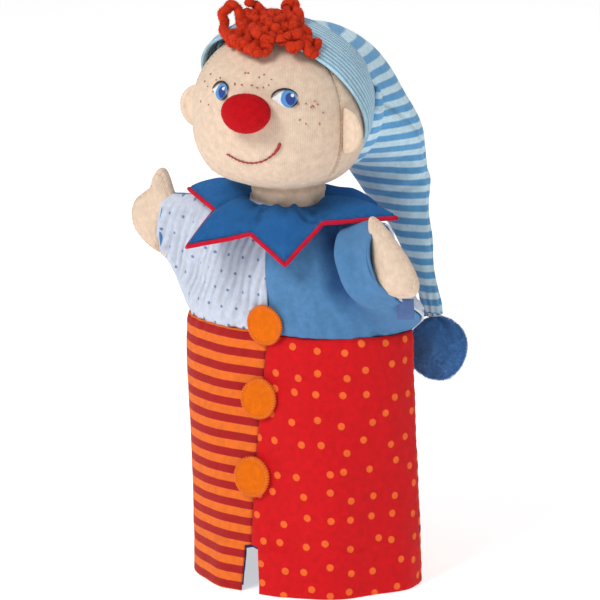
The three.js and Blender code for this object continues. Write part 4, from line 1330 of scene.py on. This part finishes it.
# ---- hair -------------------------------------------------------------------------------------------------
def smooth_path(corners, count):
    """A rounded line through corners (Catmull-Rom)."""
    corners = np.asarray(corners, dtype=float)
    padded = np.concatenate([corners[:1] * 2 - corners[1:2], corners, corners[-1:] * 2 - corners[-2:-1]])
    spans = len(corners) - 1
    t = np.linspace(0, spans, count)
    k = np.minimum(t.astype(int), spans - 1)
    f = (t - k)[:, None]
    p0, p1, p2, p3 = (padded[k + i] for i in range(4))
    return 0.5 * (2 * p1 + (p2 - p0) * f + (2 * p0 - 5 * p1 + 4 * p2 - p3) * f ** 2 +
                  (3 * p1 - p0 - 3 * p2 + p3) * f ** 3)


# Corners of each curl: left, up and out in the fringe's own frame about the head's middle.
# The third number is added to the head's radius.
CURLS = [
    [(-27, 31, 1), (-31, 41, 1), (-30, 50, 2), (-25, 53, 3), (-22, 45, 3), (-19, 37, 1)],
    [(-19, 39, 2), (-26, 35, 3), (-22, 29, 2), (-15, 28, 3), (-11, 33, 2)],
    [(-18, 55, 4), (-12, 52, 4), (-9, 46, 4), (-8, 39, 2), (-14, 37, 4)],
    [(-12, 31, 2), (-15, 27, 4), (-8, 26, 2), (-8, 33, 5), (-3, 37, 3)],
    [(-12, 36, 5), (-5, 38, 6), (1, 40, 5), (4, 36, 3)],
    [(-7, 42, 3), (-4, 49, 2), (1, 45, 4), (-3, 40, 6), (3, 36, 4)],
    [(2, 37, 4), (6, 44, 5), (3, 51, 4), (7, 53, 3), (10, 45, 4), (10, 37, 3)],
    [(9, 40, 5), (5, 33, 4), (7, 27, 3), (11, 31, 4), (9, 37, 2)],
    [(9, 39, 3), (14, 35, 5), (15, 29, 4), (18, 25, 2), (19, 31, 1)],
    [(-24, 33, 5), (-20, 42, 3), (-14, 44, 2), (-10, 38, 3)],
    [(-26, 38, 4), (-22, 31, 6), (-17, 33, 4), (-19, 40, 3)],
    [(-15, 41, 6), (-11, 34, 7), (-6, 31, 5), (-3, 35, 4)],
    [(-9, 47, 5), (-5, 41, 8), (0, 36, 7), (1, 31, 4)],
    [(-1, 41, 8), (5, 39, 8), (9, 42, 6), (6, 47, 4)],
    [(3, 34, 7), (8, 35, 8), (13, 38, 6), (15, 33, 4)],
    [(-21, 46, 2), (-17, 48, 5), (-12, 43, 6)],
]
FRINGE_TURN = 32.0
FRINGE_TILT = 15.0


def fringe_points(corners):
    """Places a curl's corners on the head, seen square on to the fringe."""
    out = np.array(direction_to(FRINGE_TURN, FRINGE_TILT))
    side = np.array(direction_to(FRINGE_TURN + 90, 0))
    up = np.cross(out, side)
    up = up if up[2] > 0 else -up
    corners = np.array(corners, dtype=float)
    reach = np.sqrt(np.maximum(50.0 ** 2 - corners[:, 0] ** 2 - corners[:, 1] ** 2, 14.0 ** 2)) + corners[:, 2]
    return np.array(HEAD_CENTER) + corners[:, :1] * side + corners[:, 1:2] * up + reach[:, None] * out


def make_hair():
    """Chunky chenille curls, sewn on in a row in front of the cap's rim."""
    cores, radii, roots, normals = [], [], [], []
    draw = np.random.default_rng(21)
    for number, corners in enumerate(CURLS):
        path = smooth_path(fringe_points(corners), 72)
        path = path + smooth_path(draw.normal(0, 0.55, (13, 3)), 72)
        uneven = smooth_path(draw.normal(0, 0.35, (17, 3)), 72)[:, 0]
        thick = 2.7 + 0.5 * np.sin(np.linspace(0, 17, 72) + number) + uneven
        thick[0] = thick[-1] = 1.6
        cores.append(path)
        radii.append(thick)
        tangent = np.gradient(path, axis=0)
        tangent /= np.linalg.norm(tangent, axis=1, keepdims=True)
        pick = draw.integers(0, 72, 1500)
        spin = draw.normal(0, 1, (1500, 3))
        spin -= tangent[pick] * (spin * tangent[pick]).sum(1)[:, None]
        spin /= np.linalg.norm(spin, axis=1, keepdims=True)
        roots.append(path[pick] + spin * thick[pick][:, None] * 0.8 + draw.normal(0, 0.15, (1500, 3)))
        normals.append(spin)
    curls = tubes("chenille_curls", cores, radii, "chenille", 10)
    ride(curls, "head", [f"hair_curl_{k}" for k in range(1, 10)])
    pile_coat = fibres("chenille_pile", np.concatenate(roots), np.concatenate(normals),
                       1.7, 0.24, "chenille", 8, 0.55)
    ride(pile_coat, "head")


# ---- cap --------------------------------------------------------------------------------------------------
def cap_axis():
    tilt = math.radians(CAP_TILT)
    return np.array([0, math.cos(tilt), math.sin(tilt)])


def cap_section(along, around, proud):
    """A point of the cap's ball: along is the distance up the cap's axis, around an angle about it."""
    axis = cap_axis()
    side = np.array([1.0, 0.0, 0.0])
    top = np.cross(axis, side)
    top = top if top[2] > 0 else -top
    radius = np.sqrt(np.maximum(1 - (along / (HEAD_RADIUS + proud)) ** 2, 0)) * (HEAD_RADIUS + proud)
    points = along[..., None] * axis + (radius * np.sin(around))[..., None] * side + \
        (radius * np.cos(around))[..., None] * top
    points[..., 2] *= HEAD_HALF_HEIGHT / HEAD_RADIUS
    return points


def make_cap_band():
    """The knitted band round the head, with a rolled rim; it leaves an opening for the neck below."""
    columns = 150
    around = np.linspace(0, TAU, columns, endpoint=False)[None, :]
    band_run = np.linspace(0, 1, 34)[:, None]
    under = smoothstep(0.80, 0.96, (1 - np.cos(around)) / 2)
    to_left = np.sin(around)
    slope = 4.5 * np.maximum(to_left, 0) ** 2 - 13.0 * np.maximum(-to_left, 0)
    start = CAP_RIM + 9.5 * under - slope * (1 - under)
    along = start + (CAP_BAND_END + 2.0 - start) * band_run
    rolls = 0.35 * ripple(around / 2, band_run, 33) + 0.35 * np.sin(9 * around) * smoothstep(0.25, 0, band_run)
    band = cap_section(along, around + 0 * band_run, 3.2 + rolls)
    curl_t = np.linspace(math.pi * 1.35, 0, 9)[:, None]
    lip = cap_section(start - 1.0 * np.sin(curl_t) * 1.3, around + 0 * curl_t, 2.0 + 1.2 * np.cos(curl_t))
    points = head_to_puppet(np.concatenate([lip[:-1], band]))
    uv = lengths(points)
    uv[:, :, 1] -= uv[8:9, :, 1]
    piece = sheet_piece("cap_band_knit", points, "pinstripe_knit", uv, thickness=1.0, wrap=True)
    ride(piece, "head", ["cap_band"])


# Middle and half width of the cap's cone at each ring, then of its tail.
CROWN_RINGS = [((-1, -2, 283), 46.5), ((6, 14, 273), 42.0), ((15, 30, 262), 37.0), ((22, 42, 249), 32.5),
               ((26.5, 49, 235), 27.5)]
TAIL_RINGS = [((33, 52, 218), 20.5), ((39.5, 52, 201), 14.0), ((46, 52, 183), 9.6), ((52, 52, 162), 7.0),
              ((56, 52, 145), 5.4)]


def make_cap_cloth():
    """The striped cone and its tail: one cloth from the band to the pompom, creased where it turns down."""
    rings, columns = 130, 96
    middle = smooth_path([ring[0] for ring in CROWN_RINGS + TAIL_RINGS], rings)
    width = smooth_path([[ring[1], 0, 0] for ring in CROWN_RINGS + TAIL_RINGS], rings)[:, 0]
    run = np.concatenate([[0], np.cumsum(np.linalg.norm(np.diff(middle, axis=0), axis=1))])
    share = run / run[-1]
    tangent = np.gradient(middle, axis=0)
    tangent /= np.linalg.norm(tangent, axis=1, keepdims=True)
    first_axis = head_to_puppet(cap_axis()) - np.array(HEAD_CENTER)
    start_weight = smoothstep(0.20, 0.0, share)[:, None]
    tangent = first_axis * start_weight + tangent * (1 - start_weight)
    tangent /= np.linalg.norm(tangent, axis=1, keepdims=True)
    across = np.tile(np.array([1.0, 0.0, 0.0]), (rings, 1))
    across -= tangent * (across * tangent).sum(1)[:, None]
    across /= np.linalg.norm(across, axis=1, keepdims=True)
    out = np.cross(across, tangent)
    flat = 1 - 0.42 * smoothstep(0.10, 0.5, share) + 0.25 * smoothstep(0.85, 1.0, share)
    angle = np.arange(columns)[None, :] * TAU / columns
    wide = width[:, None] * np.cos(angle)
    deep = width[:, None] * flat[:, None] * np.sin(angle)
    points = middle[:, None] + across[:, None] * wide[..., None] + out[:, None] * deep[..., None]
    sag = 1.6 * ripple(share[:, None] * 3.0, angle / TAU * 2, 12) * smoothstep(0.04, 0.2, share)[:, None]
    sag = sag - 1.5 * np.exp(-((share[:, None] - 0.47 - 0.03 * np.cos(angle)) / 0.022) ** 2) * (1 + np.sin(angle)) / 2
    sag = sag - 1.4 * np.exp(-((share[:, None] - 0.54 + 0.03 * np.sin(angle)) / 0.018) ** 2) * (1 + np.cos(angle)) / 2
    gather = 0.14 * np.sin(9 * angle) * smoothstep(0.86, 1.0, share)[:, None] * width[:, None]
    seam = -0.8 * np.exp(-((np.minimum(angle, TAU - angle) / 0.10) ** 2)) * smoothstep(0.05, 0.2, share)[:, None]
    points = points + grid_normals_wrapped(points) * (sag + gather + seam)[..., None]
    points = outside_head(points, 1.7)
    uv = np.stack(np.broadcast_arrays(angle / TAU * 0.12, (STRIPE_TOP - points[:, :, 2]) * MM), axis=2)
    points, uv = points[:, ::-1], uv[:, ::-1]
    cloth = sheet_piece("cap_cloth", points, "striped_jersey", uv, thickness=0.9, wrap=True)
    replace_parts(cloth, "cap_crown", "cap_tail")
    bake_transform(cloth)


def grid_normals_wrapped(points):
    du = np.roll(points, -1, 1) - np.roll(points, 1, 1)
    dv = np.gradient(points, axis=0)
    normals = np.cross(dv, du)
    normals /= np.maximum(np.linalg.norm(normals, axis=2, keepdims=True), 1e-9)
    centre = points.mean(axis=1, keepdims=True)
    facing = np.sign(((points - centre) * normals).sum(axis=(0, 1, 2)))
    return normals * facing


def outside_head(points, clearance):
    """Keeps the cloth off the head: points too near its middle are moved out to its surface."""
    local = points - np.array(HEAD_CENTER)
    scaled = local / np.array([HEAD_RADIUS + clearance, HEAD_RADIUS + clearance, HEAD_HALF_HEIGHT + clearance])
    distance = np.linalg.norm(scaled, axis=2, keepdims=True)
    return np.array(HEAD_CENTER) + local * np.where(distance < 1, 1 / np.maximum(distance, 1e-6), 1)


def make_pompom():
    """A dense ball of short plush, tied to the end of the cap's tail."""
    rows, columns = 60, 84
    v = np.linspace(0.03, math.pi - 0.03, rows)[:, None]
    s = np.arange(columns)[None, :] * TAU / columns
    lump = 1 + 0.030 * np.sin(3 * s + 1.3 * v) + 0.025 * np.cos(4 * s - 2 * v) + 0.02 * np.sin(7 * s + 3 * v)
    x = 16.0 * np.sin(v) * np.cos(s) * lump
    y = 14.6 * np.sin(v) * np.sin(s) * lump
    z = 17.4 * np.cos(v) * lump
    points = np.stack([x, y, z], axis=2) + np.array(POMPOM_CENTER)
    faces = grid_faces(rows, columns, True) + end_caps(rows, columns)
    # Its plush is painted lighter than the collar's, to make up for the shade the pompom hangs in.
    ball = make_mesh("pompom_ball_plush", points.reshape(-1, 3), faces, "pompom_plush_lit")
    weld_object(ball)
    ride(ball, "pompom_ball", ["pompom"])
    add_nap("pompom_pile", [ball], 18000, 2.1, 0.2, "pompom_plush_lit", "pompom_ball", 14, 0.5)
    t = np.linspace(0, TAU * 2.4, 60)
    tie = np.stack([56.0 + 4.4 * np.cos(t), 52 + 3.6 * np.sin(t), 144.6 + t * 0.16], axis=1)
    thread_wraps = tubes("pompom_tie", [tie], [0.45], "thread_white", 8)
    ride(thread_wraps, "pompom_ball")


# ---- hands ------------------------------------------------------------------------------------------------
HAND_THICKNESS = 12.5
WRIST_GAP = 3.0


def frame_of_arm(side, forward, lift, origin):
    """Axes of a sleeve or a hand: x along it, y to its back, z to its upper edge, as rows of a 3 x 3 array."""
    sign = ARMS[side]["sign"]
    f, r = math.radians(forward), math.radians(lift)
    along = np.array([sign * math.cos(r) * math.cos(f), -math.cos(r) * math.sin(f), math.sin(r)])
    up = np.array([-sign * math.sin(r) * math.cos(f), math.sin(r) * math.sin(f), math.cos(r)])
    return np.array(origin, dtype=float), np.array([along, np.cross(up, along), up])


def hand_frame(side):
    arm = ARMS[side]
    cuff = np.array(arm["pivot"], dtype=float) + arm_direction(side) * (ARM_LENGTH + WRIST_GAP)
    if side == "left":
        cuff = cuff - arm_direction(side) * 1.0
    return frame_of_arm(side, arm["hand_forward"], arm["hand_lift"], cuff)


MITTENS = {
    "right": [(-9, -15.5), (-3, -17.0), (4, -16.5), (12, -13.5), (19, -8.5), (22.5, -1), (22, 7), (18, 13), (14.5, 18),
              (14, 24), (12, 30), (8.5, 31.5), (4.5, 28), (-1, 20.5), (-4, 17.5), (-9, 16)],
    "left": [(-12, 8), (-14, 15), (-13.5, 20.5), (-9, 19.5), (-2, 14.5), (5, 8), (12, 1), (17, -6), (19.5, -12),
             (18, -18), (11, -21), (3, -21), (-4, -18), (-9, -12), (-11, -3)],
}


def mitten_outline(side):
    """A closed rounded line in the hand's X-Z plane around the palm and the thumb."""
    corners = np.array(MITTENS[side] + MITTENS[side][:1], dtype=float)
    line = smooth_path(corners, 150)
    return line[:-1]


def away_from_line(points, line):
    """Distance of each point to a closed line in the plane, and whether it lies inside."""
    a, b = line, np.roll(line, -1, 0)
    ab = b - a
    ap = points[:, None] - a[None]
    t = np.clip((ap * ab).sum(2) / np.maximum((ab ** 2).sum(1), 1e-9), 0, 1)
    distance = np.linalg.norm(ap - t[..., None] * ab[None], axis=2).min(1)
    crosses = (a[None, :, 1] > points[:, None, 1]) != (b[None, :, 1] > points[:, None, 1])
    at = a[None, :, 0] + (points[:, None, 1] - a[None, :, 1]) * ab[None, :, 0] / \
        np.where(np.abs(ab[None, :, 1]) < 1e-9, 1e-9, ab[None, :, 1])
    inside = ((points[:, None, 0] < at) & crosses).sum(1) % 2 == 1
    return distance, inside


def make_hand(side):
    """A two-layer jersey mitten, stuffed and sewn along its edge, on the sleeve's end."""
    origin, axes = hand_frame(side)
    outline = mitten_outline(side)
    centre = np.array([7.0, 1.0]) if side == "right" else np.array([0.0, 0.0])
    rings, count = 22, len(outline)
    share = np.sin(np.linspace(0, 1, rings) * math.pi / 2)[:, None, None]
    flat = centre + (outline[None] - centre) * share
    shape = flat.shape[:2]
    sewn = outline[10:-10] if side == "right" else outline
    distance, _ = away_from_line(flat.reshape(-1, 2), sewn)
    distance = distance.reshape(shape)
    half = HAND_THICKNESS / 2 + 1.2
    full = half * np.sqrt(1 - (1 - np.clip(distance / 13.5, 0, 1)) ** 2)
    x, z = flat[..., 0], flat[..., 1]
    seed = 60 if side == "left" else 66
    folds = 0.45 * ripple(x / 24, z / 24, seed) * smoothstep(0.5, 5, distance)
    thumb_fold = smoothstep(2, 6, x) * smoothstep(20, 12, x) * (side == "right")
    crease = -1.2 * np.exp(-(((z - 17.0 - 0.3 * (x - 8)) / 1.6) ** 2)) * thumb_fold
    pucker = 0.28 * np.sin(np.arange(count)[None] * TAU / 4.6) * np.exp(-distance / 3.0) * smoothstep(0.1, 1.2, distance)
    groove = 0.55 * np.exp(-(((distance - 1.7) / 0.8) ** 2))
    height = full + (folds + crease + pucker - groove) * smoothstep(0, 1.6, distance)
    layers = []
    for facing in (-1, 1):
        local = np.stack([x, facing * height, z], axis=2)
        layers.append(local)
    points = np.concatenate([layers[0].reshape(-1, 3), layers[1].reshape(-1, 3)])
    puppet = origin + points @ axes
    faces = []
    for layer in (0, 1):
        base = layer * rings * count
        for row in range(rings - 1):
            for k in range(count):
                a, b = base + row * count + k, base + row * count + (k + 1) % count
                quad = (a, b, b + count, a + count)
                faces.append(quad if layer == 0 else quad[::-1])
    uv = np.concatenate([flat.reshape(-1, 2), flat.reshape(-1, 2)]) * MM
    hand = make_mesh(f"hand_{side}_jersey", puppet, faces, "jersey", uv)
    weld_object(hand, 2e-6)
    ride(hand, f"hand_{side}", [f"hand_{side}_front", f"hand_{side}_back"])
    edge = outline[10:-10]
    steps = np.linspace(0, len(edge) - 1, 64).astype(int)
    stitches, radii = [], []
    inner = centre + (edge - centre) * 0.90
    for k in steps[::2]:
        a, b = inner[k], inner[min(k + 1, len(edge) - 1)]
        d, _ = away_from_line(np.array([a, b]), sewn)
        rise = half * np.sqrt(1 - (1 - np.clip(d / 13.5, 0, 1)) ** 2) - 0.15
        for facing in (-1, 1):
            path = np.array([
                [a[0], facing * rise[0], a[1]],
                [(a[0] + b[0]) / 2, facing * (rise.mean() + 0.2), (a[1] + b[1]) / 2],
                [b[0], facing * rise[1], b[1]],
            ])
            stitches.append(origin + path @ axes)
            radii.append(0.13)
    seam = tubes(f"hand_{side}_stitches", stitches, radii, "thread_seam", 5)
    ride(seam, f"hand_{side}")


def make_cuff_hems():
    """The sleeve's hem, turned in and gathered around the wrist."""
    for side in ("left", "right"):
        arm = ARMS[side]
        cuff = np.array(arm["pivot"], dtype=float) + arm_direction(side) * (ARM_LENGTH + 0.4)
        origin, axes = frame_of_arm(side, arm["forward"], arm["lift"], cuff)
        angles = np.linspace(0, TAU, 90, endpoint=False)[None, :]
        t = np.linspace(0, 1, 12)[:, None]
        wave = 0.35 * np.sin(13 * angles) + 0.3 * np.sin(8 * angles + 1)
        inward = 3.2 * smoothstep(0, 0.45, t)
        x = 0.6 - 10.5 * t ** 1.5 + 0 * angles
        back, front = (5.4, 12.8) if side == "left" else (9.4, 9.4)
        depth = np.where(np.cos(angles) > 0, back, front)
        y = (depth - 0.5 * inward + wave * t) * np.cos(angles)
        z = (18.6 - inward + wave * t) * np.sin(angles)
        local = np.stack(np.broadcast_arrays(x, y, z), axis=2)
        points = origin + local @ axes
        points = points if side == "left" else points[:, ::-1]
        hem = sheet_piece(f"cuff_hem_{side}", points, "blue_velour", thickness=0.6, wrap=True)
        ride(hem, f"arm_{side}")


def keep_cad_tube():
    """The cardboard finger tube stays as it was packed."""
    tube = bpy.data.objects["finger_tube"]
    tube.data.materials.clear()
    tube.data.materials.append(material("cardboard"))


make_camera()
make_studio()
make_skirt()
make_lining()
make_bodice()
make_buttons()
make_label()
make_collar()
make_neck_ruffle()
make_neck()
make_fillings()
make_head_cover()
make_eyes()
make_smile()
make_freckles()
make_seam_stitches()
make_nose()
make_ears()
make_hair()
make_cap_band()
make_cap_cloth()
make_pompom()
for hand_side in ("left", "right"):
    make_hand(hand_side)
make_cuff_hems()
keep_cad_tube()
